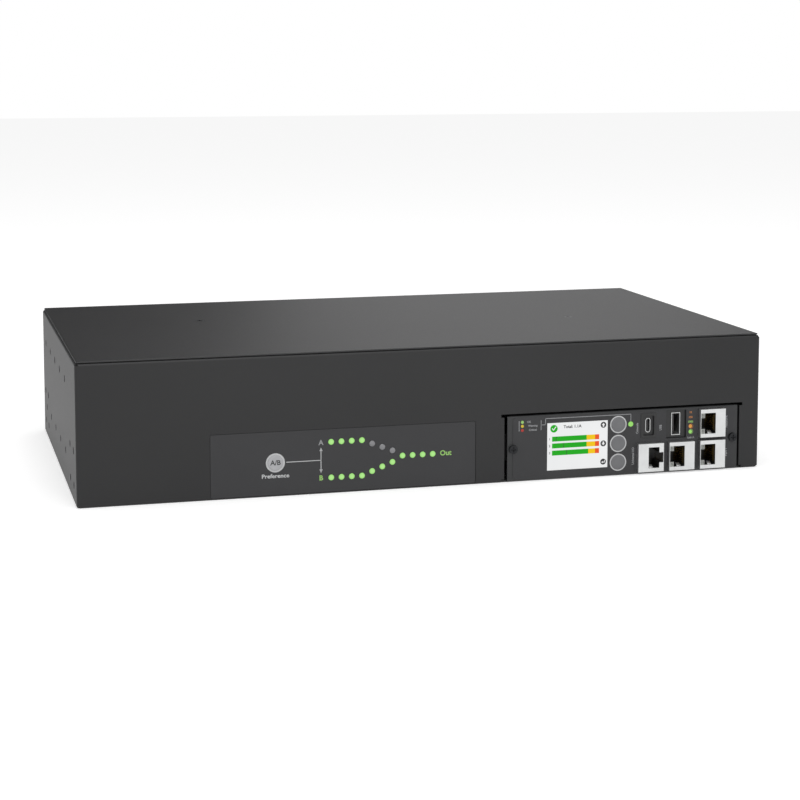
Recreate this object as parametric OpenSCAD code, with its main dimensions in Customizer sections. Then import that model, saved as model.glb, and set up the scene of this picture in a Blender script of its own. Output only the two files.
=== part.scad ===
// Rack automatic transfer switch, two rack units high, with a slide-in management module.
// Frame: X runs to the right seen from the front, Y from front to rear, Z up.
// The origin is the middle of the enclosure's underside. Sizes are in millimetres.

/* [Enclosure] */
// Width of the enclosure
body_w = 432; // [428:1:440]
// Depth from the front face to the rear face
body_d = 237; // [234:1:260]
// Height of the enclosure with its cover on
body_h = 86.5; // [85.5:0.5:88.5]
// Thickness of the folded sheet
sheet_t = 1.2; // [1:0.1:1.5]
// Outside radius of the tray's folds
fold_r = 1.6; // [1.6:0.1:2.2]
// Width of the flanges turned in round the tray's top
top_flange = 9; // [7:0.5:12]
// Width of the flanges turned in at the tray's rear
rear_flange = 8; // [6:0.5:8.5]
// Size of the relief notches at the ends of the folds
relief = 2; // [1.5:0.1:2.5]
// Thickness of the top cover
cover_t = 1.2; // [1:0.1:1.5]
// How far the cover's edges stand back from the tray's faces
cover_setback = 1; // [0.5:0.1:2]
// Depth of the cover's down-turned lips
cover_lip = 6; // [4:0.5:6]
// Radius on the cover's upper edges
cover_edge_r = 0.6; // [0.3:0.1:0.8]
// Height of the open seam under the cover's edges
cover_seam = 0.4; // [0.2:0.05:0.5]

/* [Side holes] */
// Radius of the holes for brackets and rails
side_hole_r = 2.25; // [1.8:0.05:2.5]
// Distance of the bracket holes from the nearer end of the enclosure
bracket_edge = 15.6; // [12:0.1:18]
// Spacing of the bracket holes along the depth
bracket_pitch_y = 22; // [18:0.5:24]
// Spacing of the bracket holes in height
bracket_pitch_z = 20.7; // [18:0.1:22]
// Height of the middle of the bracket holes
bracket_z = 21; // [20:0.1:23]
// Number of rail holes in each row
rail_count = 5; // [3:1:5]
// Distance of the first rail hole from the front face
rail_start = 68.6; // [60:0.1:70]
// Spacing of the rail holes
rail_pitch = 36.1; // [34:0.1:37]
// Height of the lower row of rail holes
rail_z = 20.8; // [20:0.1:23]
// Height of one rack unit, from the lower row to the upper row
rack_unit = 44.45; // [44:0.05:45]

/* [Source indicator] */
// Width of the indicator's recess
label_w = 164.6; // [160:0.2:168]
// Height of the indicator's recess
label_h = 38.9; // [38:0.1:40]
// Height of the recess's lower edge
label_z = 0.8; // [0.6:0.1:1]
// Distance of the recess's right edge from the module bay
label_to_bay = 18.3; // [15:0.1:20]
// Depth of the recess
label_depth = 0.6; // [0.5:0.05:0.8]
// Thickness of the printed overlay
overlay_t = 0.4; // [0.3:0.05:0.45]
// Corner radius of the recess
label_r = 1.6; // [1:0.1:2.5]
// Spacing of the indicator lamps
lamp_pitch = 6.35; // [6:0.05:6.6]
// Radius of an indicator lamp
lamp_r = 1.75; // [1.5:0.05:1.9]
// Height of each source's row above or below the middle
branch_rise = 10.9; // [10:0.1:11.5]
// Step in height between lamps where the rows run together
branch_step = 2.45; // [2.2:0.05:2.6]
// Distance of the first lamp from the recess's left edge
lamp_start = 73.6; // [72:0.2:76]
// Distance of the preference button from the recess's left edge
preference_x = 39.4; // [36:0.2:42]

/* [Buttons] */
// Radius of every button cap
button_r = 4.7; // [4.4:0.1:4.9]
// Running clearance round a button cap
button_gap = 0.3; // [0.2:0.05:0.35]
// Travel of the preference button
preference_travel = 0.6; // [0.4:0.1:0.8]
// Travel of the menu buttons
menu_travel = 0.5; // [0.3:0.1:0.6]
// Spacing of the menu buttons
menu_pitch = 12; // [11.5:0.1:12.4]

/* [Management module] */
// Width of the module's faceplate
module_w = 153.8; // [150:0.2:156]
// Height of the module's faceplate
module_h = 40.9; // [40.5:0.1:42]
// Height of the faceplate's lower edge
module_z = 0.4; // [0.3:0.1:0.6]
// Depth of the module behind the front face
module_d = 92; // [86:1:93]
// Sheet thickness of the module
module_t = 1; // [0.8:0.1:1.2]
// Gap between the faceplate and the bay on the left
bay_gap_left = 2; // [1.5:0.1:2.5]
// Gap between the faceplate and the bay on the right
bay_gap_right = 1.4; // [1:0.1:2]
// Gap above the faceplate
bay_gap_top = 1.4; // [1:0.1:2]
// Width of the front wall to the right of the bay
bay_margin = 13.5; // [12:0.1:15]
// Width of the display's visible face
screen_w = 39.8; // [38:0.1:40.5]
// Height of the display's visible face
screen_h = 29.7; // [28:0.1:30.5]
// Distance of the display from the faceplate's left edge
screen_x = 26; // [25:0.1:27]

/* [Jacks] */
// Width of a shielded jack
jack_w = 17; // [16.5:0.1:17.3]
// Height of a shielded jack
jack_h = 17.9; // [17.5:0.1:18]
// Length of a shielded jack
jack_d = 22; // [20:0.5:25]
// How far a jack stands out of the faceplate
jack_proud = 3.6; // [2:0.1:4.5]
// Sideways spacing of the jacks
jack_pitch = 20.9; // [20.5:0.1:21.2]
// Distance of the first jack from the faceplate's left edge
jack_x = 85.4; // [85.2:0.1:86]

/* [Rear] */
// Height left above and below the outlet banks
bank_margin = 9.2; // [8.8:0.1:10]
// Sideways spacing of the outlets
outlet_pitch = 32.6; // [32:0.1:33]
// Depth of the outlets behind the rear face
outlet_d = 20; // [18:0.5:22]
// Depth of the inlets behind the rear face
inlet_d = 24; // [22:0.5:26]
// Length of the inlet pins
pin_l = 16; // [14:0.5:17]

/* [Circuit boards] */
// Thickness of the circuit boards
board_t = 1.6; // [1.2:0.1:2]
// Height of the main board above the tray's floor
board_rise = 8; // [6:0.5:10]
// Width of the main board
main_w = 232; // [228:1:236]
// Depth of the main board
main_d = 140; // [138:1:144]

/* [Hidden] */
$fn = 48;

// Clearances shared by parts that fit one another
slip = 0.2;       // a part that passes through a cut-out
seat = 0.05;      // a screw in its thread or a pin in its bore
over = 1;         // how far a cutting shape runs past what it cuts

// Enclosure
front_y = -body_d / 2;
rear_y = body_d / 2;
tray_h = body_h - cover_t;
tray_rear = rear_y - sheet_t;
wall_x = body_w / 2 - sheet_t;

// Screws: metric 3, pan head and countersunk head
screw_r = 1.5;
head_r = 2.65;
head_h = 1.7;
cross_w = 0.7;
cross_l = 3.2;
cross_deep = 0.8;

// Cover posts: X from the middle, Y from the front face
post_at = [[-119.8, 147.3], [123.4, 101.6]];
post_r = 4;
cover_notch_r = 1.5;
edge_block = 6;
seam_w = 2;
cover_notch_x = -22;

// Management module
bay_x1 = body_w / 2 - bay_margin;
bay_x0 = bay_x1 - module_w - bay_gap_left - bay_gap_right;
bay_top = module_z + module_h + bay_gap_top;
module_x = bay_x0 + bay_gap_left;
module_mid_z = module_z + module_h / 2 - 0.2;
module_top = module_z + module_h;
module_floor_z = sheet_t + 0.3;
plate_fold = 1.3;
plate_flange = 6;
tray_lip = 2.2;
guide_d = 8;
tab_w = 8.5;
tab_h = 17;
module_screw_in = [3.6, 3.3];
overlay_film = 0.25;
overlay_margin_x = [3.5, 2.3];
overlay_margin_z = [1.5, 1.2];
screen_z = module_z + 5.6;
screen_mid = [module_x + screen_x + screen_w / 2, screen_z + screen_h / 2];
menu_x = module_x + 72.9;
status_at = [module_x + 81.2, module_mid_z + 11.85];
link_x = module_x + 121.6;
link_z = [module_mid_z + 8.45, module_mid_z + 4.95];
status_r = 1.6;
link_r = 1.1;
display_board_y = front_y + module_t + 4;

// Jacks: column, row (0 low, 1 high), and whether the latch side faces right
jack_places = [[0, 0, true], [1, 0, false], [2, 0, false], [2, 1, false]];
jack_low_z = module_z + 1.6;
jack_rise = 19.95;
jack_sheet = 0.3;
jack_cavity = [7.2, 13.2];
latch_slot = [2.7, 6.4];
jack_margin = 0.5;
plug_depth = 13;
contact_count = 8;
contact_pitch = 1.27;

// USB sockets and their bezels
console_mid = [module_x + 93.2, module_mid_z + 10.3];
console_size = [10.4, 15.9];
console_recess = [7.4, 12.6];
usb_mid = [module_x + 111.9, module_mid_z + 10.3];
usb_window = [13.4, 17.6];
usb_a_size = [5.9, 14.3];
usb_c_size = [3.3, 9.1];
usb_sheet = 0.35;
usb_length = 14;

// Source indicator
label_x = bay_x0 - label_to_bay - label_w;
label_mid_z = module_mid_z;
lamp_hole_r = lamp_r + slip;
indicator_board_y = front_y + 8;
wall_back = front_y + sheet_t + label_depth;
preference_at = [label_x + preference_x, label_mid_z];
button_flange = 1;
button_flange_h = 0.9;
stem_r = 1.7;
stem_gap = 0.08;
switch_w = 8;

// Rear panel
panel_gap = 0.4;
end_margin = 11;
inlet_flange = [50, 27];
inlet_x = -body_w / 2 + end_margin + inlet_flange[0] / 2;
inlet_cavity = [28.8, 20];
inlet_wall = 2.4;
inlet_flange_t = 2.5;
inlet_hole_pitch = 40;
breaker_gap = 5;
breaker_body = [17, 28.4];
breaker_bezel = [20, 31.4];
breaker_x = inlet_x + inlet_flange[0] / 2 + breaker_gap + breaker_bezel[0] / 2;
breaker_mouth = [13, 25];
breaker_d = 40;
breaker_bezel_t = 2;
rocker_w = 12.6;
rocker_axis_y = rear_y - 5;
rocker_swing = 24;
trunnion_r = 1.5;
trunnion_l = 1.1;
outlet_recess = [28.6, 20.6];
outlet_core = [23.8, 15.8];
outlet_flange_t = 1.6;
outlet_rim = 2.2;
outlet_sill = 3.1;
bank_gap = 4;
bank_h = body_h - 2 * bank_margin;
row_pitch = bank_h - outlet_recess[1] - 2 * outlet_sill;
row_z = body_h / 2 - row_pitch / 2;
large_recess = [34.4, 25.6];
large_core = [28.2, 19.4];
large_w = 44.4;
stud_r = 2.5;
washer_r = 5;
ground_margin = 10.4;
ground_at = [body_w / 2 - ground_margin - washer_r, body_h / 2];
large_x = ground_at[0] - washer_r - 1.2 - large_w / 2;
banks_x0 = breaker_x + breaker_bezel[0] / 2 + breaker_gap;
banks_x1 = large_x - large_w / 2 - 0.8;
bank_columns = floor(((banks_x1 - banks_x0 - bank_gap) / 2 - 2 * outlet_rim) / outlet_pitch);
bank_w = bank_columns * outlet_pitch + 2 * outlet_rim;
bank_1_x = banks_x1 - bank_gap - 1.5 * bank_w;
bank_2_x = banks_x1 - bank_w / 2;
back_t = 2;
strip_t = 1.2;

// Main board
main_x = -body_w / 2 + 16;
main_y = front_y + 24;
board_z = sheet_t + board_rise;
board_top = board_z + board_t;
board_hole_in = 6;
spacer_r = 3;
bolt_r = 1.25;

// ---------- shared shapes ----------

// A flat shape drawn in X and Z, made solid from y0 to y1
module slab_y(y0, y1) {
    translate([0, y1, 0]) rotate([90, 0, 0]) linear_extrude(y1 - y0) children();
}

// A flat shape drawn in Y and Z, made solid from x0 to x1
module slab_x(x0, x1) {
    translate([x0, 0, 0]) rotate([90, 0, 90]) linear_extrude(x1 - x0) children();
}

module rod_y(x, z, y0, y1, r) {
    translate([x, y0, z]) rotate([-90, 0, 0]) cylinder(r = r, h = y1 - y0);
}

module rod_x(y, z, x0, x1, r) {
    translate([x0, y, z]) rotate([0, 90, 0]) cylinder(r = r, h = x1 - x0);
}

// A box between two corners
module span(low, high) {
    translate(low) cube([for (i = [0:2]) high[i] - low[i]]);
}

// A rectangle with round corners about its own middle
module rounded_rect(w, h, r) {
    square([w - 2 * r, h], center = true);
    square([w, h - 2 * r], center = true);
    for (sx = [-1, 1], sy = [-1, 1]) translate([sx * (w / 2 - r), sy * (h / 2 - r)]) circle(r = r);
}

// A rectangle with its two upper corners cut off, as on a mains connector
module clipped_rect(w, h, clip) {
    polygon([[-w / 2, -h / 2], [w / 2, -h / 2], [w / 2, h / 2 - clip], [w / 2 - clip, h / 2],
        [-w / 2 + clip, h / 2], [-w / 2, h / 2 - clip]]);
}

// A pan head screw along Y: its head stands on the plane y, and its shank runs to the rear
module pan_screw_y(x, z, y, length, facing = -1) {
    difference() {
        union() {
            rod_y(x, z, min(y, y + facing * head_h), max(y, y + facing * head_h), head_r);
            rod_y(x, z, min(y, y - facing * length), max(y, y - facing * length), screw_r);
        }
        top = y + facing * head_h;
        for (size = [[cross_l, cross_w], [cross_w, cross_l]])
            slab_y(min(top, top - facing * cross_deep) - 0.01, max(top, top - facing * cross_deep) + 0.01)
                translate([x, z]) square(size, center = true);
    }
}

// ---------- enclosure ----------

// The block that the tray is folded round, drawn in by inset, with round folds at the front
module tray_block(inset, rear_end) {
    r = fold_r - inset;
    length = rear_end + 20 - front_y - inset;
    intersection() {
        slab_y(front_y, rear_end)
            translate([0, tray_h / 2]) rounded_rect(body_w - 2 * inset, tray_h - 2 * inset, r);
        slab_x(-body_w / 2 - over, body_w / 2 + over)
            translate([front_y + inset + length / 2, tray_h / 2])
                rounded_rect(length, tray_h - 2 * inset, r);
        linear_extrude(tray_h)
            translate([0, front_y + inset + length / 2]) rounded_rect(body_w - 2 * inset, length, r);
    }
}

module bay_cut() {
    floor_edge = front_y + max(sheet_t, module_t) + 0.4;
    span([bay_x0, front_y - over, -over], [bay_x1, floor_edge, bay_top]);
    for (x = [bay_x0 - relief, bay_x1 - 0.1], z = [-over, bay_top - relief])
        span([x, front_y - over, z], [x + relief + 0.1, floor_edge, z < 0 ? relief : bay_top]);
}

// The bay's side edges are turned in as guides, and each ends in a tab for a module screw
module bay_guides() {
    tab_z = module_mid_z - tab_h / 2;
    for (side = [0, 1]) {
        x0 = side == 0 ? bay_x0 - sheet_t : bay_x1;
        tab_x = side == 0 ? bay_x0 - sheet_t : bay_x1 - tab_w;
        screw_x = side == 0 ? module_x + module_screw_in[0] : module_x + module_w - module_screw_in[1];
        span([x0, front_y + sheet_t / 2, relief], [x0 + sheet_t, front_y + guide_d, bay_top - relief]);
        difference() {
            span([tab_x, front_y + guide_d - sheet_t, tab_z],
                [tab_x + tab_w + sheet_t, front_y + guide_d, tab_z + tab_h]);
            rod_y(screw_x, module_mid_z, front_y, front_y + guide_d + over, screw_r + seat);
        }
    }
}

function branch_z(i) = i < 4 ? branch_rise : branch_rise - (i - 3) * branch_step;
function lamp_x(i) = label_x + lamp_start + i * lamp_pitch;

lamps_on = concat(
    [for (i = [0:3]) [lamp_x(i), label_mid_z + branch_z(i)]],
    [for (i = [0:6]) [lamp_x(i), label_mid_z - branch_z(i)]],
    [for (i = [7:10]) [lamp_x(i), label_mid_z]]);
lamps_off = [for (i = [4:6]) [lamp_x(i), label_mid_z + branch_z(i)]];

module label_outline(inset) {
    translate([label_x + label_w / 2, label_z + label_h / 2])
        rounded_rect(label_w - 2 * inset, label_h - 2 * inset, label_r - inset);
}

bracket_holes = [for (near = [front_y + bracket_edge, front_y + bracket_edge + bracket_pitch_y,
    rear_y - bracket_edge - bracket_pitch_y, rear_y - bracket_edge], s = [-1, 1])
    [near, bracket_z + s * bracket_pitch_z / 2]];
rail_holes = [for (i = [0:rail_count - 1], z = [rail_z, rail_z + rack_unit])
    [front_y + rail_start + i * rail_pitch, z]];
panel_screw_at = [[-body_w / 2 + 4.6, 10], [body_w / 2 - 4.6, 10], [-body_w / 2 + 4.6, tray_h - 9],
    [body_w / 2 - 4.6, tray_h - 9], [-body_w / 6, rear_flange / 2 + 0.8], [body_w / 6, rear_flange / 2 + 0.8]];

module chassis_tray() {
    color("#2e2f31") difference() {
        union() {
            difference() {
                tray_block(0, tray_rear);
                tray_block(sheet_t, tray_rear - sheet_t);
                span([-body_w / 2 + top_flange, front_y + top_flange, tray_h - sheet_t - over],
                    [body_w / 2 - top_flange, rear_y + over, tray_h + over]);
                span([-body_w / 2 + rear_flange, tray_rear - sheet_t - over, rear_flange],
                    [body_w / 2 - rear_flange, rear_y, tray_h + over]);
                bay_cut();
            }
            bay_guides();
            slab_y(front_y + sheet_t / 2, wall_back) label_outline(0);
        }
        slab_y(front_y - over, front_y + label_depth) label_outline(0);
        for (p = concat(lamps_on, lamps_off)) rod_y(p[0], p[1], front_y - over, wall_back + over, lamp_hole_r);
        rod_y(preference_at[0], preference_at[1], front_y - over, wall_back + over, button_r + button_gap);
        for (p = concat(bracket_holes, rail_holes), x = [-body_w / 2 - over, wall_x - over])
            rod_x(p[0], p[1], x, x + sheet_t + 2 * over, side_hole_r);
        for (p = panel_screw_at)
            rod_y(p[0], p[1], tray_rear - sheet_t - over, tray_rear + over, screw_r + seat);
        for (x = [-body_w / 2 - over, body_w / 2 - relief], z = [-over, tray_h - relief * 0.6])
            span([x, front_y - over, z], [x + relief + over, front_y + relief, z + over + relief * 0.6]);
    }
}

module top_cover() {
    w = body_w - 2 * cover_setback;
    d = body_d - cover_setback;
    mid_y = front_y + cover_setback + d / 2;
    lip_x = body_w / 2 - top_flange - 0.4;
    lip_front = front_y + top_flange + 0.4;
    lip_rear = tray_rear - 0.3;
    color("#2c2d2f") difference() {
        union() {
            difference() {
                intersection() {
                    translate([0, mid_y, tray_h]) linear_extrude(cover_t) rounded_rect(w, d, 1.2);
                    slab_y(front_y, rear_y) translate([0, body_h - edge_block / 2])
                        rounded_rect(w, edge_block, cover_edge_r);
                    slab_x(-body_w / 2, body_w / 2) translate([mid_y, body_h - edge_block / 2])
                        rounded_rect(d, edge_block, cover_edge_r);
                }
                translate([0, mid_y, tray_h - over]) linear_extrude(cover_seam + over) difference() {
                    square([w + 2, d + 2], center = true);
                    square([w - 2 * seam_w, d - 2 * seam_w], center = true);
                }
            }
            for (s = [-1, 1])
                span([s < 0 ? -lip_x : lip_x - cover_t, lip_front + 4, tray_h - cover_lip],
                    [s < 0 ? -lip_x + cover_t : lip_x, lip_rear - 4, tray_h + cover_t / 2]);
            span([-lip_x + 4, lip_front, tray_h - cover_lip], [lip_x - 4, lip_front + cover_t, tray_h + cover_t / 2]);
            span([-lip_x + 4, lip_rear - cover_t, tray_h - 3], [lip_x - 4, lip_rear, tray_h + cover_t / 2]);
        }
        for (p = post_at) translate([p[0], front_y + p[1], tray_h]) {
            translate([0, 0, -over]) cylinder(r = screw_r + seat, h = cover_t + 2 * over);
            cylinder(r1 = screw_r + seat, r2 = head_r + seat + 0.1, h = cover_t);
        }
        translate([cover_notch_x, front_y + cover_setback, tray_h - 0.01])
            cylinder(r = cover_notch_r, h = cover_t + over);
        translate([body_w / 2 - cover_setback, 0, tray_h - 0.01])
            cylinder(r = cover_notch_r, h = cover_t + over);
    }
}

// Threaded posts between the floor and the cover
module cover_posts() {
    color("silver") for (p = post_at) translate([p[0], front_y + p[1], sheet_t]) difference() {
        cylinder(r = post_r, h = tray_h - sheet_t, $fn = 6);
        translate([0, 0, tray_h - sheet_t - 12]) cylinder(r = screw_r + seat, h = 12 + over);
    }
}

module cover_screws() {
    color("#1c1d1f") for (p = post_at) translate([p[0], front_y + p[1], 0]) difference() {
        union() {
            translate([0, 0, tray_h - 8]) cylinder(r = screw_r, h = 8);
            translate([0, 0, tray_h]) cylinder(r1 = screw_r, r2 = head_r + 0.1, h = cover_t);
        }
        for (size = [[cross_l, cross_w], [cross_w, cross_l]])
            translate([0, 0, body_h - cross_deep]) linear_extrude(cross_deep + over) square(size, center = true);
    }
}

// ---------- rear ----------

row_at = [for (i = [0, 1]) row_z + i * row_pitch];
function column_x(bank_x, i) = bank_x + (i - (bank_columns - 1) / 2) * outlet_pitch;

module bank_outline(w, inset) {
    translate([0, body_h / 2]) rounded_rect(w - 2 * inset, bank_h - 2 * inset, 2);
}

module rear_panel() {
    color("#2e2f31") difference() {
        slab_y(tray_rear, rear_y) translate([0, tray_h / 2])
            rounded_rect(body_w - 2 * panel_gap, tray_h - 2 * panel_gap, 1);
        for (z = row_at) {
            slab_y(tray_rear - over, rear_y + over) translate([inlet_x, z])
                rounded_rect(inlet_cavity[0] + 2 * inlet_wall + 2 * slip,
                    inlet_cavity[1] + 2 * inlet_wall + 2 * slip, 1);
            slab_y(tray_rear - over, rear_y + over) translate([breaker_x, z])
                square([breaker_body[0] + 2 * slip, breaker_body[1] + 2 * slip], center = true);
            for (s = [-1, 1])
                rod_y(inlet_x + s * inlet_hole_pitch / 2, z, tray_rear - over, rear_y + over, screw_r + seat);
        }
        for (b = [[bank_1_x, bank_w], [bank_2_x, bank_w], [large_x, large_w]])
            slab_y(tray_rear - over, rear_y + over) translate([b[0], 0]) bank_outline(b[1], 1.2 - slip);
        for (p = panel_screw_at) rod_y(p[0], p[1], tray_rear - over, rear_y + over, screw_r + seat);
        rod_y(ground_at[0], ground_at[1], tray_rear - over, rear_y + over, stud_r + seat);
    }
}

module panel_screws() {
    color("#1c1d1f") {
        for (p = panel_screw_at) pan_screw_y(p[0], p[1], rear_y, 6, 1);
        for (z = row_at, s = [-1, 1])
            pan_screw_y(inlet_x + s * inlet_hole_pitch / 2, z, rear_y + inlet_flange_t, 8, 1);
    }
}

// Earth stud: a bolt through the panel with a washer and a nut outside
module ground_terminal() {
    x = ground_at[0];
    z = ground_at[1];
    color("#c9a64a") {
        translate([x, tray_rear - 3, z]) rotate([-90, 0, 0]) cylinder(r = 4.4, h = 3, $fn = 6);
        rod_y(x, z, tray_rear, rear_y + 12, stud_r);
        difference() {
            rod_y(x, z, rear_y, rear_y + 1, washer_r);
            rod_y(x, z, rear_y - over, rear_y + 1 + over, stud_r + seat);
        }
        difference() {
            translate([x, rear_y + 1, z]) rotate([-90, 0, 0]) cylinder(r = 4.6, h = 4, $fn = 6);
            rod_y(x, z, rear_y, rear_y + 6, stud_r + seat);
        }
    }
}

module inlets() {
    color("#1b1b1c") for (z = row_at) translate([inlet_x, 0, z]) difference() {
        union() {
            slab_y(rear_y, rear_y + inlet_flange_t) rounded_rect(inlet_flange[0], inlet_flange[1], 3);
            slab_y(rear_y - inlet_d, rear_y + 0.5)
                rounded_rect(inlet_cavity[0] + 2 * inlet_wall, inlet_cavity[1] + 2 * inlet_wall, 1);
        }
        slab_y(rear_y - inlet_d + 4, rear_y + inlet_flange_t + over)
            clipped_rect(inlet_cavity[0], inlet_cavity[1], 4);
        for (p = inlet_pin_at) slab_y(rear_y - inlet_d - over, rear_y - inlet_d + 5)
            translate(p) square([pin_section[0] + 2 * seat, pin_section[1] + 2 * seat], center = true);
        for (s = [-1, 1])
            rod_y(s * inlet_hole_pitch / 2, 0, rear_y - over, rear_y + inlet_flange_t + over, screw_r + seat);
    }
}

pin_section = [8, 2];
inlet_pin_at = [[-6.5, -4.2], [6.5, -4.2], [0, 4.2]];
pin_tail = 7;

module inlet_pins() {
    color("silver") for (z = row_at, p = inlet_pin_at)
        slab_y(rear_y - inlet_d - pin_tail, rear_y - inlet_d + 4 + pin_l)
            translate([inlet_x + p[0], z + p[1]]) square(pin_section, center = true);
}

module outlet_frame(x, w, recess, clip, columns) {
    translate([x, 0, 0]) difference() {
        union() {
            slab_y(rear_y, rear_y + outlet_flange_t) bank_outline(w, 0);
            slab_y(rear_y - outlet_d, rear_y + 0.5) bank_outline(w, 1.2);
        }
        for (cx = columns, z = row_at) slab_y(rear_y - outlet_d - over, rear_y + outlet_flange_t + over)
            translate([cx, z]) clipped_rect(recess[0], recess[1], clip);
    }
}

bank_columns_x = [for (i = [0:bank_columns - 1]) column_x(0, i)];

module outlet_frames() {
    color("#202021") {
        outlet_frame(bank_1_x, bank_w, outlet_recess, 5.5, bank_columns_x);
        outlet_frame(bank_2_x, bank_w, outlet_recess, 5.5, bank_columns_x);
        outlet_frame(large_x, large_w, large_recess, 3, [0]);
    }
}

// The island in the middle of an outlet, with three contact slots
module outlet_core_at(x, z, size, clip, slot, slots) {
    deep = 14;
    difference() {
        slab_y(rear_y - outlet_d, rear_y + 0.9) translate([x, z]) clipped_rect(size[0], size[1], clip);
        for (p = slots) slab_y(rear_y + 0.9 - deep, rear_y + over + 0.9)
            translate([x + p[0], z + p[1]]) square(slot, center = true);
    }
}

module outlet_cores() {
    color("#202021") {
        for (b = [bank_1_x, bank_2_x], i = [0:bank_columns - 1], z = row_at)
            outlet_core_at(column_x(b, i), z, outlet_core, 4, [2.4, 4.8], [[-7, -1.5], [7, -1.5], [0, 2.5]]);
        for (z = row_at)
            outlet_core_at(large_x, z, large_core, 2, [8.6, 2.6], [[-6.5, -4], [6.5, -4], [0, 4.2]]);
    }
}

module outlet_backs() {
    color("#202021") for (b = [[bank_1_x, bank_w], [bank_2_x, bank_w], [large_x, large_w]])
        slab_y(rear_y - outlet_d - back_t, rear_y - outlet_d) translate([b[0], 0]) bank_outline(b[1], 1.2);
}

// Live, neutral and earth strips behind each row of outlets
module outlet_bus_strips() {
    y1 = rear_y - outlet_d - back_t;
    strip_w = (bank_columns - 1) * outlet_pitch + 16;
    color("#b8733a") for (z = row_at, dz = [-9, 0, 9]) {
        for (b = [bank_1_x, bank_2_x])
            span([b - strip_w / 2, y1 - strip_t, z + dz - 3], [b + strip_w / 2, y1, z + dz + 3]);
        span([large_x - 15, y1 - strip_t, z + dz - 3], [large_x + 15, y1, z + dz + 3]);
    }
}

module breakers() {
    color("#1b1b1c") for (z = row_at) translate([breaker_x, 0, z]) difference() {
        union() {
            slab_y(rear_y, rear_y + breaker_bezel_t) rounded_rect(breaker_bezel[0], breaker_bezel[1], 1.5);
            slab_y(rear_y - breaker_d, rear_y + 0.5) square(breaker_body, center = true);
        }
        slab_y(rocker_axis_y - 12, rear_y + breaker_bezel_t + over) square(breaker_mouth, center = true);
        rod_x(rocker_axis_y, 0, -breaker_mouth[0] / 2 - trunnion_l - 0.2, breaker_mouth[0] / 2 + trunnion_l + 0.2,
            trunnion_r + 0.06);
    }
}

// A rocker with two sloped faces that turns on round trunnions
module breaker_rocker(z) {
    color("#2a2a2c") translate([breaker_x, rocker_axis_y, z]) {
        rotate([rocker_swing / 2, 0, 0]) slab_x(-rocker_w / 2, rocker_w / 2)
            polygon([[-4, -8], [2, -10.6], [7.5, -10.6], [4.6, 0], [7.5, 10.6], [2, 10.6], [-4, 8]]);
        rod_x(0, 0, -breaker_mouth[0] / 2 - trunnion_l, breaker_mouth[0] / 2 + trunnion_l, trunnion_r);
    }
}

// ---------- source indicator ----------

module indicator_overlay() {
    y0 = front_y + label_depth - overlay_t;
    color("#252627") difference() {
        slab_y(y0, front_y + label_depth) label_outline(0.3);
        for (p = concat(lamps_on, lamps_off)) rod_y(p[0], p[1], y0 - over, front_y + over, lamp_r + seat);
        rod_y(preference_at[0], preference_at[1], y0 - over, front_y + over, button_r + button_gap);
    }
}

module ring_2d(r0, r1) {
    difference() {
        circle(r = r1);
        circle(r = r0);
    }
}

module lamp(p) {
    rod_y(p[0], p[1], front_y + label_depth - overlay_t - 0.1, indicator_board_y, lamp_r);
}

module source_lights_on() {
    color("#7fe05a") for (p = lamps_on) lamp(p);
}

module source_lights_off() {
    color("#6f7073") for (p = lamps_off) lamp(p);
}

indicator_board_x = [label_x + 8, label_x + label_w - 8];
indicator_board_z = [4, label_z + label_h - 2];
indicator_bolts = [for (x = [indicator_board_x[0] + 5, indicator_board_x[1] - 5],
    z = [indicator_board_z[0] + 4, indicator_board_z[1] - 4]) [x, z]];

module indicator_board() {
    color("#1f5b3a") difference() {
        span([indicator_board_x[0], indicator_board_y, indicator_board_z[0]],
            [indicator_board_x[1], indicator_board_y + board_t, indicator_board_z[1]]);
        for (p = indicator_bolts)
            rod_y(p[0], p[1], indicator_board_y - over, indicator_board_y + board_t + over, bolt_r + slip);
    }
}

// A push switch on a board at y1: a square case with a blind hole for the button's stem
module push_switch(x, z, y0, y1) {
    difference() {
        span([x - switch_w / 2, y0, z - switch_w / 2], [x + switch_w / 2, y1, z + switch_w / 2]);
        rod_y(x, z, y0 - over, y1 - 0.4, stem_r + stem_gap);
    }
}

// A button: a cap with a domed face, a flange behind the wall and a stem into its switch
module push_button(at, face, wall, switch_y, stem_end) {
    dome = 0.25;
    rod_y(at[0], at[1], face + dome, wall + 0.1 + button_flange_h, button_r);
    translate([at[0], face, at[1]]) rotate([-90, 0, 0]) cylinder(r1 = button_r - 0.5, r2 = button_r, h = dome);
    rod_y(at[0], at[1], wall + 0.1, wall + 0.1 + button_flange_h, button_r + button_flange);
    rod_y(at[0], at[1], wall + 0.1, stem_end, stem_r);
}

preference_switch_y = indicator_board_y - 3.6;

module preference_switch() {
    color("#1b1b1c") push_switch(preference_at[0], preference_at[1], preference_switch_y, indicator_board_y);
}

module preference_button() {
    color("#9a999d") push_button(preference_at, front_y - 0.3, wall_back, preference_switch_y,
        indicator_board_y - 0.6 - preference_travel);
}

// ---------- management module ----------

screw_at = [[module_x + module_screw_in[0], module_mid_z], [module_x + module_w - module_screw_in[1], module_mid_z]];
menu_at = [for (i = [1, 0, -1]) [menu_x, module_mid_z + i * menu_pitch]];
function jack_left(p) = module_x + jack_x + p[0] * jack_pitch;
function jack_base(p) = jack_low_z + p[1] * jack_rise;

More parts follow.
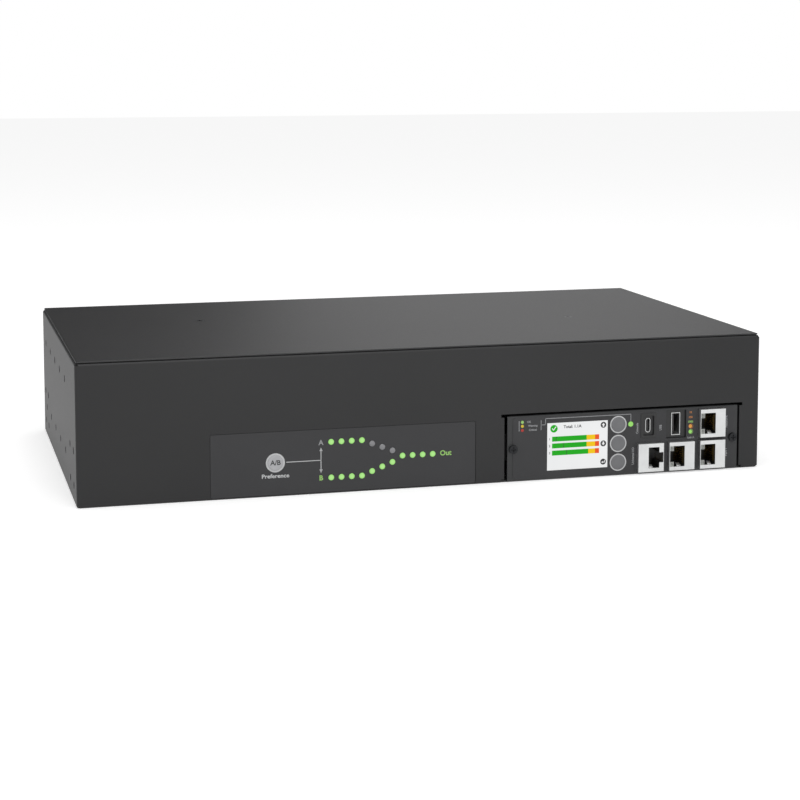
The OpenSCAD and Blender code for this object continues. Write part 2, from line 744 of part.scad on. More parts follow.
module module_cutouts(grow, screw_hole_r) {
    translate(screen_mid) square([screen_w + 2 * grow, screen_h + 2 * grow], center = true);
    for (p = menu_at) translate(p) circle(r = button_r + button_gap);
    translate(status_at) circle(r = status_r + grow);
    for (z = link_z) translate([link_x, z]) circle(r = link_r + grow);
    translate(console_mid) rounded_rect(console_size[0] + 2 * grow, console_size[1] + 2 * grow, 1.3);
    translate(usb_mid) square([usb_window[0] + 2 * grow, usb_window[1] + 2 * grow], center = true);
    for (p = jack_places) translate([jack_left(p) - grow, jack_base(p) - grow])
        square([jack_w + 2 * grow, jack_h + 2 * grow]);
    for (p = screw_at) translate(p) circle(r = screw_hole_r);
}

jack_cut_y = front_y - jack_proud + jack_d + slip;

// Faceplate with a flange folded back at its top
module module_faceplate() {
    color("#333436") difference() {
        slab_x(module_x, module_x + module_w) {
            translate([front_y, module_z]) square([module_t, module_h - plate_fold]);
            translate([front_y + plate_fold, module_top - module_t]) square([plate_flange - plate_fold, module_t]);
            translate([front_y + plate_fold, module_top - plate_fold]) intersection() {
                ring_2d(plate_fold - module_t, plate_fold);
                translate([-plate_fold, 0]) square(plate_fold);
            }
        }
        slab_y(front_y - over, front_y + module_t + 0.01) module_cutouts(slip, screw_r + slip);
        for (p = jack_places) if (p[1] == 1)
            span([jack_left(p) - slip, front_y + module_t, jack_base(p) - slip],
                [jack_left(p) + jack_w + slip, jack_cut_y, jack_base(p) + jack_h + slip]);
    }
}

// Floor and side walls, with a front flange that the faceplate is fixed to
module module_tray() {
    x = [module_x + 0.8, module_x + module_w - 0.8];
    y0 = front_y + module_t;
    color("#8f9194") difference() {
        union() {
            span([x[0], y0, module_floor_z], [x[1], front_y + module_d, module_floor_z + module_t]);
            span([x[0], y0, module_floor_z], [x[1], y0 + module_t, module_floor_z + tray_lip]);
            for (x0 = [x[0], x[1] - module_t])
                span([x0, front_y + guide_d + 3, module_floor_z], [x0 + module_t, front_y + module_d, 10]);
        }
        for (p = jack_places) if (p[1] == 0)
            span([jack_left(p) - slip, front_y, 0], [jack_left(p) + jack_w + slip, jack_cut_y, jack_h]);
        span([menu_x - button_r - button_flange - slip, y0 - over, module_floor_z + module_t],
            [menu_x + button_r + button_flange + slip, y0 + module_t + over, module_floor_z + tray_lip + over]);
    }
}

module module_overlay() {
    w = module_w - overlay_margin_x[0] - overlay_margin_x[1];
    h = module_h - overlay_margin_z[0] - overlay_margin_z[1];
    color("#272829") slab_y(front_y - overlay_film, front_y) difference() {
        translate([module_x + overlay_margin_x[0] + w / 2, module_z + overlay_margin_z[0] + h / 2])
            rounded_rect(w, h, 2);
        module_cutouts(0.1, head_r + 0.35);
    }
}

module module_screws() {
    color("#1c1d1f") for (p = screw_at) pan_screw_y(p[0], p[1], front_y, guide_d + 3);
}

module display_glass() {
    color("#eceded") slab_y(front_y + 0.1, front_y + module_t + 0.1)
        translate(screen_mid) square([screen_w + slip, screen_h + slip], center = true);
}

module display_module() {
    color("#8f9194") slab_y(front_y + module_t + 0.1, display_board_y)
        translate(screen_mid) square([screen_w + 1.6, screen_h + 4], center = true);
}

display_board_x = [module_x + 15, module_x + 84.2];
display_board_z = [4, module_top - 2.6];
display_bolts = [[display_board_x[0] + 4, 9], [display_board_x[0] + 4, 33],
    [display_board_x[1] - 3.2, 8], [display_board_x[1] - 3.2, 24]];

module display_board() {
    color("#1f5b3a") difference() {
        span([display_board_x[0], display_board_y, display_board_z[0]],
            [display_board_x[1], display_board_y + board_t, display_board_z[1]]);
        for (p = display_bolts)
            rod_y(p[0], p[1], display_board_y - over, display_board_y + board_t + over, bolt_r + slip);
    }
}

menu_switch_y = display_board_y - 2.3;

module menu_switches() {
    color("#1b1b1c") for (p = menu_at) push_switch(p[0], p[1], menu_switch_y, display_board_y);
}

module menu_button(i) {
    color("#6c6b6e") push_button(menu_at[i], front_y - overlay_film - 0.35, front_y + module_t, menu_switch_y,
        display_board_y - 0.5 - menu_travel);
}

module light_pipe(at, r) {
    rod_y(at[0], at[1], front_y - overlay_film - 0.15, display_board_y, r);
}

module status_light() {
    color("#8be04a") light_pipe(status_at, status_r);
}

// A port light's pipe has a foot that stands on the riser beside it
module link_light(z) {
    rod_y(link_x, z, front_y - overlay_film - 0.1, pipe_foot_y, link_r);
    span([link_x - link_r, pipe_foot_y, z - link_r], [riser_x[1] - 0.1, pipe_foot_y + pipe_foot_t, z + link_r]);
}

// ---------- jacks and USB sockets ----------

// Runs its children in a jack's own frame: X from the side away from the latch, Y from the mouth, Z from the base
module in_jack(p) {
    x = jack_left(p);
    translate([p[2] ? x : x + jack_w, front_y - jack_proud, jack_base(p)])
        if (p[2]) children();
        else mirror([1, 0, 0]) children();
}

latch_wall = 0.3;
cavity_x1 = jack_w - latch_wall - latch_slot[0];
cavity_x0 = cavity_x1 - jack_cavity[0];

module plug_outline(with_corners) {
    translate([cavity_x0, (jack_h - jack_cavity[1]) / 2]) square(jack_cavity);
    translate([cavity_x1 - 0.01, (jack_h - latch_slot[1]) / 2]) square([latch_slot[0] + 0.01, latch_slot[1]]);
    if (with_corners) translate([cavity_x1 - 0.01, (jack_h - jack_cavity[1]) / 2])
        square([latch_slot[0] + 0.01, jack_cavity[1]]);
}

// Folded shield: a box with an open mouth
module jack_shields() {
    color("#c7c8c8") for (p = jack_places) in_jack(p) difference() {
        cube([jack_w, jack_d, jack_h]);
        translate([jack_sheet, jack_sheet, jack_sheet])
            cube([jack_w - 2 * jack_sheet, jack_d, jack_h - 2 * jack_sheet]);
        slab_y(-over, jack_sheet + over) plug_outline(!p[2]);
    }
}

// Moulded insert with the plug's cavity and a slot for its latch
module jack_inserts() {
    inner = jack_sheet + 0.02;
    color("#141415") for (p = jack_places) in_jack(p) difference() {
        translate([inner, inner, inner]) cube([jack_w - 2 * inner, jack_d - inner, jack_h - 2 * inner]);
        slab_y(-over, plug_depth) plug_outline(false);
        if (!p[2]) for (s = [-1, 1]) jack_lamp_at(s, 0.02);
    }
}

module jack_lamp_at(s, grow) {
    reach = (jack_cavity[1] - latch_slot[1]) / 2 - 0.4;
    translate([cavity_x1 + 0.2 - grow, -grow, jack_h / 2 + s * (jack_cavity[1] / 2 - reach / 2) - reach / 2 - grow])
        cube([latch_slot[0] - 0.4 + 2 * grow, 6 + 2 * grow, reach + 2 * grow]);
}

module jack_lamps() {
    color("#d9dbd6") for (p = jack_places) if (!p[2]) in_jack(p) for (s = [-1, 1]) jack_lamp_at(s, 0);
}

// Eight sprung contacts lean into each cavity from the side away from the latch
module jack_contacts() {
    color("#d6b25a") for (p = jack_places) in_jack(p) for (i = [0:contact_count - 1])
        translate([cavity_x0 + 0.05, 3, jack_h / 2 + (i - (contact_count - 1) / 2) * contact_pitch - 0.25])
            linear_extrude(0.5) polygon([[0, 0], [0.4, 0], [2.4, 8], [2.4, 9], [0, 9]]);
}

module usb_a_outline(inset) {
    square([usb_a_size[0] - 2 * inset, usb_a_size[1] - 2 * inset], center = true);
}

module usb_c_outline(inset) {
    rounded_rect(usb_c_size[0] - 2 * inset, usb_c_size[1] - 2 * inset, usb_c_size[0] / 2 - inset - 0.01);
}

usb_a_face = front_y + 0.6;
usb_c_face = front_y + 0.9;
pipe_foot_y = front_y + 9.5;
pipe_foot_t = 1.5;

module usb_shells() {
    color("#b9bbbd") {
        slab_y(usb_a_face, usb_a_face + usb_length) translate(usb_mid) difference() {
            usb_a_outline(0);
            usb_a_outline(usb_sheet);
        }
        slab_y(usb_c_face, usb_c_face + usb_length - 5) translate(console_mid) difference() {
            usb_c_outline(0);
            usb_c_outline(usb_sheet);
        }
    }
}

module usb_tongues() {
    color("#1a1a1b") {
        slab_y(usb_a_face + 1.5, usb_a_face + usb_length) translate(usb_mid)
            translate([-usb_a_size[0] / 2 + usb_sheet, -usb_a_size[1] / 2 + 1.3])
                square([1.9, usb_a_size[1] - 2.6]);
        slab_y(usb_c_face + 0.9, usb_c_face + usb_length - 5) translate(console_mid)
            square([0.7, 6.7], center = true);
        slab_y(usb_c_face + usb_length - 6, usb_c_face + usb_length - 5) translate(console_mid)
            usb_c_outline(usb_sheet);
    }
}

// Moulded surrounds that carry the two USB shells
module port_bezels() {
    gap = 0.06;
    color("#1d1e1f") {
        difference() {
            union() {
                slab_y(front_y - overlay_film - 0.2, front_y + module_t + 0.1)
                    translate(console_mid) rounded_rect(console_size[0], console_size[1], 1.2);
                slab_y(front_y + module_t + 0.1, usb_c_face + usb_length - 5)
                    span_2d([riser_x[0] + board_t + 0.1, console_mid[1] - console_size[1] / 2 - 0.5],
                        [console_mid[0] + console_size[0] / 2, console_mid[1] + console_size[1] / 2]);
            }
            slab_y(front_y - over, usb_c_face) translate(console_mid)
                rounded_rect(console_recess[0], console_recess[1], 1);
            slab_y(usb_c_face - over, usb_c_face + usb_length) translate(console_mid) usb_c_outline(-gap);
        }
        difference() {
            union() {
                slab_y(front_y + module_t + 0.1, usb_a_face + usb_length - 1)
                    span_2d([usb_mid[0] - usb_window[0] / 2 - 0.8, usb_mid[1] - usb_window[1] / 2],
                        [link_x - link_r - 0.5, usb_mid[1] + usb_window[1] / 2]);
                slab_y(pipe_foot_y + pipe_foot_t + 0.1, usb_a_face + usb_length - 1)
                    span_2d([usb_mid[0], usb_mid[1] - usb_window[1] / 2],
                        [riser_x[1] - 0.1, usb_mid[1] + usb_window[1] / 2]);
            }
            slab_y(front_y, usb_a_face + usb_length) translate(usb_mid) usb_a_outline(-gap);
        }
    }
}

module span_2d(low, high) {
    translate(low) square([high[0] - low[0], high[1] - low[1]]);
}

// Upright boards beside the jack columns
riser_x = [module_x + jack_x - 0.1 - board_t, module_x + jack_x + jack_pitch + jack_w + 0.1,
    module_x + jack_x + 2 * jack_pitch + jack_w + 0.1];
riser_y = [front_y + 9, front_y + 32];
riser_z = [module_floor_z + module_t + 0.3, module_top - module_t - 0.5];

module port_risers() {
    color("#1f5b3a") for (x = riser_x)
        span([x, riser_y[0], riser_z[0]], [x + board_t, riser_y[1], riser_z[1]]);
}

module_board_x = [module_x + 8, module_x + module_w - 6];
module_board_y = [riser_y[1] + 0.1, front_y + module_d - 3];
module_board_z = 11;
module_bolts = [for (x = [module_board_x[0] + 5, module_board_x[1] - 5],
    y = [module_board_y[0] + 5, module_board_y[1] - 5]) [x, y]];

module module_board() {
    color("#1f5b3a") difference() {
        span([module_board_x[0], module_board_y[0], module_board_z],
            [module_board_x[1], module_board_y[1], module_board_z + board_t]);
        for (p = module_bolts) translate([p[0], p[1], module_board_z - over])
            cylinder(r = bolt_r + slip, h = board_t + 2 * over);
    }
}

// Processor, memory, clock battery and the headers that join the risers to the board
module module_chips() {
    z = module_board_z + board_t;
    x = module_board_x[0];
    y = module_board_y[0];
    color("#1b1b1c") {
        for (b = [[20, 18, 17, 17, 2], [44, 20, 12, 8, 1.2], [44, 32, 12, 8, 1.2], [66, 22, 10, 10, 1.5],
            [92, 20, 9, 9, 1.5], [12, 42, 24, 7, 8], [88, 42, 40, 7, 8]])
            translate([x + b[0], y + b[1], z]) cube([b[2], b[3], b[4]]);
        for (r = riser_x) span([r + board_t, y - 5, z], [r + board_t + 5, y + 9, z + 9]);
        translate([x + 72, y + 46, z]) cylinder(r = 7, h = 3.2);
    }
}

// Flat cables: display board to module board, and module board to main board
module ribbon_cables() {
    t = 0.9;
    z = module_board_z + board_t + 8;
    y_back = display_board_y + board_t;
    header_y = module_board_y[0] + 42;
    color("#8a8c90") {
        slab_x(module_board_x[0] + 14, module_board_x[0] + 34)
            polygon([[y_back, z + 9], [header_y + 4, z + 9], [header_y + 4, z], [header_y + 4 - t, z],
                [header_y + 4 - t, z + 9 - t], [y_back, z + 9 - t]]);
        slab_x(module_board_x[0] + 92, module_board_x[0] + 124)
            polygon([[header_y + 2, z], [header_y + 2 + t, z], [header_y + 2 + t, z + 12], [header_y + 24, z + 12],
                [header_y + 24, z + 12 + t], [header_y + 2, z + 12 + t]]);
    }
}

// ---------- power section ----------

main_holes = concat(
    [for (x = [main_x + board_hole_in, main_x + main_w - board_hole_in],
        y = [main_y + board_hole_in, main_y + main_d - board_hole_in]) [x, y]],
    [[main_x + main_w / 2, main_y + board_hole_in], [main_x + main_w / 2 + 12, main_y + main_d - board_hole_in]]);

module main_board() {
    color("#1f5b3a") difference() {
        span([main_x, main_y, board_z], [main_x + main_w, main_y + main_d, board_top]);
        for (p = main_holes) translate([p[0], p[1], board_z - over])
            cylinder(r = bolt_r + slip, h = board_t + 2 * over);
        translate([post_at[0][0], front_y + post_at[0][1], board_z - over])
            cylinder(r = post_r + 1, h = board_t + 2 * over);
    }
}

module spacer_z(x, y, z0, z1) {
    translate([x, y, z0]) difference() {
        cylinder(r = spacer_r, h = z1 - z0);
        translate([0, 0, max(0, z1 - z0 - 6)]) cylinder(r = bolt_r + seat, h = 6 + over);
    }
}

module spacer_y(x, z, y0, y1, r) {
    difference() {
        rod_y(x, z, y0, y1, r);
        rod_y(x, z, y0 + 0.4, y1 + over, bolt_r + seat);
    }
}

module board_spacers() {
    color("silver") {
        for (p = main_holes) spacer_z(p[0], p[1], sheet_t, board_z);
        for (p = module_bolts) spacer_z(p[0], p[1], module_floor_z + module_t, module_board_z);
        for (p = indicator_bolts) spacer_y(p[0], p[1], wall_back, indicator_board_y, 2.5);
        for (p = display_bolts) spacer_y(p[0], p[1], front_y + module_t, display_board_y, 2.2);
    }
}

module bolt_z(x, y, z) {
    translate([x, y, z]) cylinder(r = 2.3, h = 1.5);
    translate([x, y, z - 5]) cylinder(r = bolt_r, h = 5);
}

module bolt_y(x, z, y, length) {
    rod_y(x, z, y, y + 1.5, 2);
    rod_y(x, z, y - length, y, bolt_r);
}

module board_screws() {
    color("silver") {
        for (p = main_holes) bolt_z(p[0], p[1], board_top);
        for (p = module_bolts) bolt_z(p[0], p[1], module_board_z + board_t);
        for (p = indicator_bolts) bolt_y(p[0], p[1], indicator_board_y + board_t, 5);
        for (p = display_bolts) bolt_y(p[0], p[1], display_board_y + board_t, 4.5);
    }
}

// What stands on the board is placed from its front edge or from the terminals at its rear edge
terminal_poles = [3, 3, 4];
terminal_pitch = 10;
terminal_in = [12, 45, 142];
terminal_x = [for (x = terminal_in) main_x + x];
terminal_size = [13, 15];
terminal_margin = 3;
terminal_y = main_y + main_d - terminal_size[0] - terminal_margin;
terminal_h = terminal_size[1];
sensor_in = 150;
sensor_pitch = 32;
sensor_ring = [8.5, 7, 10];
sensor_lead = 12;
sensor_at = [for (i = [0, 1]) [main_x + sensor_in + i * sensor_pitch, terminal_y - sensor_lead]];
relay_size = [29, 36, 25];
relay_y = terminal_y - 2 * sensor_lead - relay_size[1] - 2;
relay_pitch = 36;
relay_count = floor(main_w / relay_pitch);
relay_margin = 9;
relay_step = 0.8;
relay_base = 3;

// Power relays, each with a stepped base
module relays() {
    color("#e0dccb") for (i = [0:relay_count - 1])
        translate([main_x + relay_margin + i * relay_pitch, relay_y, board_top]) {
            cube([relay_size[0], relay_size[1], relay_base]);
            translate([relay_step, relay_step, relay_base])
                cube([relay_size[0] - 2 * relay_step, relay_size[1] - 2 * relay_step, relay_size[2] - relay_base]);
        }
}

supply_in = [14, 12];
supply_pitch = 52;
supply_at = [for (i = [0, 1]) [main_x + supply_in[0] + i * supply_pitch, main_y + supply_in[1]]];
core_size = [36, 30, 30];
core_band = 7;

// Laminated cores with a window for the winding
module supply_cores() {
    color("#4b4d50") for (p = supply_at) translate([p[0], p[1], board_top]) difference() {
        translate([0, 9, 0]) cube([core_size[0], core_size[1] - 18, core_size[2]]);
        for (x = [core_band, core_size[0] - core_band - 6])
            translate([x, 8, core_band]) cube([6, core_size[1], core_size[2] - 2 * core_band]);
    }
}

module supply_coils() {
    leg_x = [core_band + 6 + 0.1, core_size[0] - core_band - 6 - 0.1];
    z0 = core_band + 0.3;
    z1 = core_size[2] - core_band - 0.3;
    color("#a5632d") for (p = supply_at) translate([p[0], p[1], board_top]) difference() {
        translate([core_band + 0.3, 1, z0])
            cube([core_size[0] - 2 * core_band - 0.6, core_size[1] - 2, z1 - z0]);
        translate([leg_x[0] - 0.3, 8.7, z0 - over])
            cube([leg_x[1] - leg_x[0] + 0.6, core_size[1] - 17.4, z1 - z0 + 2 * over]);
    }
}

cap_r = 9;
cap_h = 32;
cap_in = [122, 22];
cap_count = 2;

module capacitors() {
    color("#2b3a55") for (i = [0:cap_count - 1])
        translate([main_x + cap_in[0] + i * 2.4 * cap_r, main_y + cap_in[1], board_top]) difference() {
            cylinder(r = cap_r, h = cap_h);
            translate([0, 0, 3]) rotate_extrude() translate([cap_r, 0]) circle(r = 0.7);
        }
}

// Toroids that measure the current of each output lead
module current_sensors() {
    color("#c58a1e") for (p = sensor_at)
        translate([p[0], p[1], board_top + sensor_ring[0] + sensor_ring[1] / 2]) rotate([90, 0, 0])
            rotate_extrude() translate([sensor_ring[0], 0]) rounded_rect(sensor_ring[1], sensor_ring[2], 1.5);
}

fin_count = 9;
fin_pitch = 5;
fin_size = [1.2, 18, 22];
fin_base = 4;
fin_in = [174, 14];

module heat_sinks() {
    color("#9b9da0") translate([main_x + fin_in[0], main_y + fin_in[1], board_top]) {
        cube([(fin_count - 1) * fin_pitch + fin_size[0], fin_size[1], fin_base]);
        for (i = [0:fin_count - 1]) translate([i * fin_pitch, 0, fin_base]) cube(fin_size);
    }
}

module terminal_blocks() {
    color("#2f6b46") for (b = [0:2]) translate([terminal_x[b], terminal_y, board_top]) difference() {
        cube([terminal_poles[b] * terminal_pitch, terminal_size[0], terminal_h]);
        for (i = [0:terminal_poles[b] - 1]) translate([(i + 0.5) * terminal_pitch, 0, 0]) {
            translate([0, 6, terminal_h - 4]) cylinder(r = 2.6, h = 4 + over);
            translate([0, 14, 6]) rotate([90, 0, 0]) cylinder(r = 2.4, h = 7);
        }
    }
}

// ---------- leads ----------

lead_r = 1.6;
lead_sides = 8;

function curve_point(p, t) = pow(1 - t, 3) * p[0] + 3 * pow(1 - t, 2) * t * p[1]
    + 3 * (1 - t) * t * t * p[2] + pow(t, 3) * p[3];
function unit(v) = v / norm(v);

// A round lead swept along the curve through four control points, its rings square to the curve
module lead(p, rings = 14) {
    points = [for (i = [0:rings]) curve_point(p, i / rings)];
    tangents = [for (i = [0:rings])
        unit(i == 0 ? p[1] - p[0] : i == rings ? p[3] - p[2] : points[i + 1] - points[i - 1])];
    ring_points = [for (i = [0:rings], k = [0:lead_sides - 1])
        let (n = unit(cross(tangents[i], [1, 0, 0])), b = cross(tangents[i], n), a = 360 * k / lead_sides)
            points[i] + lead_r * (cos(a) * n + sin(a) * b)];
    sides = [for (i = [0:rings - 1], k = [0:lead_sides - 1])
        let (k2 = (k + 1) % lead_sides)
            [i * lead_sides + k, i * lead_sides + k2, (i + 1) * lead_sides + k2, (i + 1) * lead_sides + k]];
    polyhedron(points = ring_points, faces = concat(sides,
        [[for (k = [lead_sides - 1:-1:0]) k]], [[for (k = [0:lead_sides - 1]) rings * lead_sides + k]]));
}

pole_z = board_top + 6;
function pole_at(b, i) = [terminal_x[b] + (i + 0.5) * terminal_pitch, terminal_y + 9, pole_z];

// From the inlets' pins to the input terminals
module input_leads() {
    color("#7a3b22") for (s = [0, 1], i = [0:2]) {
        a = pole_at(s, i);
        b = [inlet_x + inlet_pin_at[[0, 2, 1][i]][0], rear_y - inlet_d - pin_tail,
            row_at[s] + inlet_pin_at[[0, 2, 1][i]][1]];
        lead([a, a + [0, 22, 0], b - [0, 14, 0], b]);
    }
}

// From the output terminals to the strips behind the outlets
module output_leads() {
    color("#3a4c7a") for (s = [0, 1], i = [0, 1]) {
        a = pole_at(2, 2 * s + i);
        b = [(s == 0 ? bank_1_x : bank_1_x + 30) + i * 12, rear_y - outlet_d - back_t - strip_t,
            row_at[s] - 9 + 9 * i];
        lead([a, a + [0, 22, 0], b - [0, 12, 0], b]);
    }
}

chassis_tray();
top_cover();
cover_posts();
cover_screws();
rear_panel();
panel_screws();
ground_terminal();
indicator_overlay();
source_lights_on();
source_lights_off();
indicator_board();
preference_switch();
preference_button();
module_faceplate();
module_tray();
module_overlay();
module_screws();
display_glass();
display_module();
display_board();
menu_switches();
menu_button(0);  // menu_button_up
menu_button(1);  // menu_button_down
menu_button(2);  // menu_button_enter
status_light();
color("#e0a03c") link_light(link_z[0]);  // link_light_amber
color("#7fd048") link_light(link_z[1]);  // link_light_green
jack_shields();
jack_inserts();
jack_lamps();
jack_contacts();
usb_shells();
usb_tongues();
port_bezels();
port_risers();
module_board();
module_chips();
ribbon_cables();
main_board();
board_spacers();
board_screws();
relays();
supply_cores();
supply_coils();
capacitors();
current_sensors();
heat_sinks();
terminal_blocks();
input_leads();
output_leads();
inlets();
inlet_pins();
outlet_frames();
outlet_cores();
outlet_backs();
outlet_bus_strips();
breakers();
breaker_rocker(row_at[0]);  // breaker_rocker_1
breaker_rocker(row_at[1]);  // breaker_rocker_2
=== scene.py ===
"""Looks for a two-unit rack automatic transfer switch with a slide-in management module.

The CAD frame gives every place. This script dresses the CAD nodes in real finishes and adds what
the solids leave out: the printed legends, the lamps' lenses, the picture on the display, the small
marks beside the sockets and the studio that the unit stands in. Lengths are metres; sizes that a
maker would give in millimetres are written as a number times MM.
"""
import logging
import math
from dataclasses import dataclass, field
from enum import Enum

import bmesh
import bpy
from mathutils import Matrix, Vector


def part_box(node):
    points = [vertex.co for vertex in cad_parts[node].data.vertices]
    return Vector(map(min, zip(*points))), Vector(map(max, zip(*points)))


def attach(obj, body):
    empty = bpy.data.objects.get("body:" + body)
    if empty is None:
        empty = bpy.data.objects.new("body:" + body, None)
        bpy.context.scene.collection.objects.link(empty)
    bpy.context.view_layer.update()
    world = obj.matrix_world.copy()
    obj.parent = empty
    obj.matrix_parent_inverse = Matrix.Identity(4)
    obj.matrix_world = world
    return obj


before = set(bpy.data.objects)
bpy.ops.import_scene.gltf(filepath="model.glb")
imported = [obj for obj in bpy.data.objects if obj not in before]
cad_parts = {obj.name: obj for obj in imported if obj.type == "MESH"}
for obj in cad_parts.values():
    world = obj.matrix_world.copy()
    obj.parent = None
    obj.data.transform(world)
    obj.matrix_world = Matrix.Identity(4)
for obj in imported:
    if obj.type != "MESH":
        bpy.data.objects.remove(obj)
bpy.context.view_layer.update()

MM = 0.001
log = logging.getLogger("transfer_switch")

Colour = tuple[float, float, float, float]
Point = tuple[float, float]


class Body(Enum):
    """The CAD bodies that pieces ride on."""

    UNIT = "switch_unit"
    PREFERENCE = "preference_button_body"
    UP = "menu_button_up_body"
    DOWN = "menu_button_down_body"
    ENTER = "menu_button_enter_body"
    ROCKER_1 = "breaker_rocker_1_body"
    ROCKER_2 = "breaker_rocker_2_body"


class Slot(Enum):
    """Names of material slots, handed to some of the pieces' calls."""

    INK = "print_ink"
    GREEN = "lamp_green"
    GREY = "lamp_grey"
    AMBER = "lamp_amber"
    DISPLAY = "glass_white"
    PLASTIC = "black_plastic"
    SHIELD = "shield"
    FILM = "overlay_film"
    BOARD = "board_green"


class Grain(Enum):
    """How the fine pattern of a surface lies."""

    EVEN = (1.0, 1.0, 1.0)
    ALONG_X = (0.04, 1.0, 1.0)
    ALONG_Y = (1.0, 0.04, 1.0)
    ALONG_Z = (1.0, 1.0, 0.04)


def linear(code: str) -> Colour:
    """Turns a colour as it is seen into the linear values that shaders use.

    Args:
        code: sRGB colour such as "#1c1c1d".

    Returns:
        Linear red, green and blue, and an alpha of 1.
    """
    seen = [int(code[i:i + 2], 16) / 255 for i in (1, 3, 5)]
    return (*[c / 12.92 if c <= 0.04045 else ((c + 0.055) / 1.055) ** 2.4 for c in seen], 1.0)


def add_node(tree: bpy.types.NodeTree, kind: str, feeds: dict | None = None, **settings) -> bpy.types.Node:
    """Adds one shader node with its settings and what feeds its sockets.

    Args:
        tree: The node tree that gets the node.
        kind: The node's type, without the leading "ShaderNode".
        feeds: Input name or number, and the value or output socket that feeds it.
        **settings: The node's own properties.

    Returns:
        The new node.
    """
    node = tree.nodes.new("ShaderNode" + kind)
    for key, value in settings.items():
        setattr(node, key, value)
    for socket, feed in (feeds or {}).items():
        if isinstance(feed, bpy.types.NodeSocket):
            tree.links.new(feed, node.inputs[socket])
        else:
            node.inputs[socket].default_value = feed
    return node


# ---------------------------------------------------------------- finishes


@dataclass(frozen=True)
class Finish:
    """A solid finish whose colour drifts in patches over a fine even grain.

    Attributes:
        name: The material's name.
        colour: Main colour, sRGB hex.
        drift: Colour that the patches lean to, sRGB hex.
        roughness: Mean roughness.
        grain: Size of the fine grain, mm.
        relief: Depth of that grain, mm.
        patch: Size of the patches, mm.
        swing: How far the grain moves the roughness either way.
        metallic: 1 for bare metal.
        ior: Index of refraction; a metal keeps the default.
        coat: Weight of a clear coat.
        lay: Which way the grain runs.
    """

    name: str
    colour: str
    drift: str
    roughness: float
    grain: float
    relief: float
    patch: float = 40.0
    swing: float = 0.04
    metallic: float = 0.0
    ior: float = 1.5
    coat: float = 0.0
    lay: Grain = Grain.EVEN

    def material(self) -> bpy.types.Material:
        """Returns this finish's material, made at its first use."""
        known = bpy.data.materials.get(self.name)
        if known:
            return known
        made = bpy.data.materials.new(self.name)
        made.use_nodes = True
        made.diffuse_color = linear(self.colour)
        tree = made.node_tree
        tree.nodes.clear()
        shader = add_node(tree, "BsdfPrincipled", {"Metallic": self.metallic, "IOR": self.ior,
                                                   "Coat Weight": self.coat})
        where = add_node(tree, "TexCoord").outputs["Object"]
        # The pattern space is in millimetres, so every size below is a real one
        space = add_node(tree, "Mapping", {"Vector": where, "Scale": (1 / MM,) * 3}).outputs[0]
        self.dress(tree, shader, space)
        add_node(tree, "OutputMaterial", {"Surface": shader.outputs[0]})
        return made

    def noise(self, tree: bpy.types.NodeTree, space: bpy.types.NodeSocket, size: float,
              detail: float = 2.0) -> bpy.types.NodeSocket:
        """Returns cloudy noise whose blobs are `size` mm across."""
        return add_node(tree, "TexNoise", {"Vector": space, "Scale": 1 / size, "Detail": detail}).outputs[0]

    def pattern(self, tree: bpy.types.NodeTree, space: bpy.types.NodeSocket) -> bpy.types.NodeSocket:
        """Returns the fine pattern, 0 to 1, that shapes the relief and the gloss."""
        laid = add_node(tree, "Mapping", {"Vector": space, "Scale": self.lay.value}).outputs[0]
        return self.noise(tree, laid, self.grain)

    def hue(self, tree: bpy.types.NodeTree, space: bpy.types.NodeSocket,
            pattern: bpy.types.NodeSocket) -> bpy.types.NodeSocket:
        """Returns the colour, which drifts in patches."""
        patches = self.noise(tree, space, self.patch, 3.0)
        spread = add_node(tree, "MapRange", {"Value": patches, "From Min": 0.3, "From Max": 0.7}).outputs[0]
        return add_node(tree, "Mix", {0: spread, 6: linear(self.colour), 7: linear(self.drift)},
                        data_type="RGBA").outputs[2]

    def dress(self, tree: bpy.types.NodeTree, shader: bpy.types.Node, space: bpy.types.NodeSocket) -> None:
        """Feeds the shader's colour, roughness and normal from the pattern."""
        fine = self.pattern(tree, space)
        gloss = add_node(tree, "MapRange", {"Value": fine, "To Min": self.roughness - self.swing,
                                            "To Max": self.roughness + self.swing})
        bump = add_node(tree, "Bump", {"Height": fine, "Distance": self.relief * MM})
        tree.links.new(self.hue(tree, space, fine), shader.inputs["Base Color"])
        tree.links.new(gloss.outputs[0], shader.inputs["Roughness"])
        tree.links.new(bump.outputs[0], shader.inputs["Normal"])


@dataclass(frozen=True)
class PowderCoat(Finish):
    """Baked powder: a soft orange peel that carries a finer speckle.

    Attributes:
        speckle: Size of the speckle, mm.
    """

    speckle: float = 0.45

    def pattern(self, tree: bpy.types.NodeTree, space: bpy.types.NodeSocket) -> bpy.types.NodeSocket:
        """Returns orange peel with the speckle added to it."""
        return add_node(tree, "Mix", {0: 0.4, 2: self.noise(tree, space, self.grain, 1.0),
                                      3: self.noise(tree, space, self.speckle, 0.0)}).outputs[0]


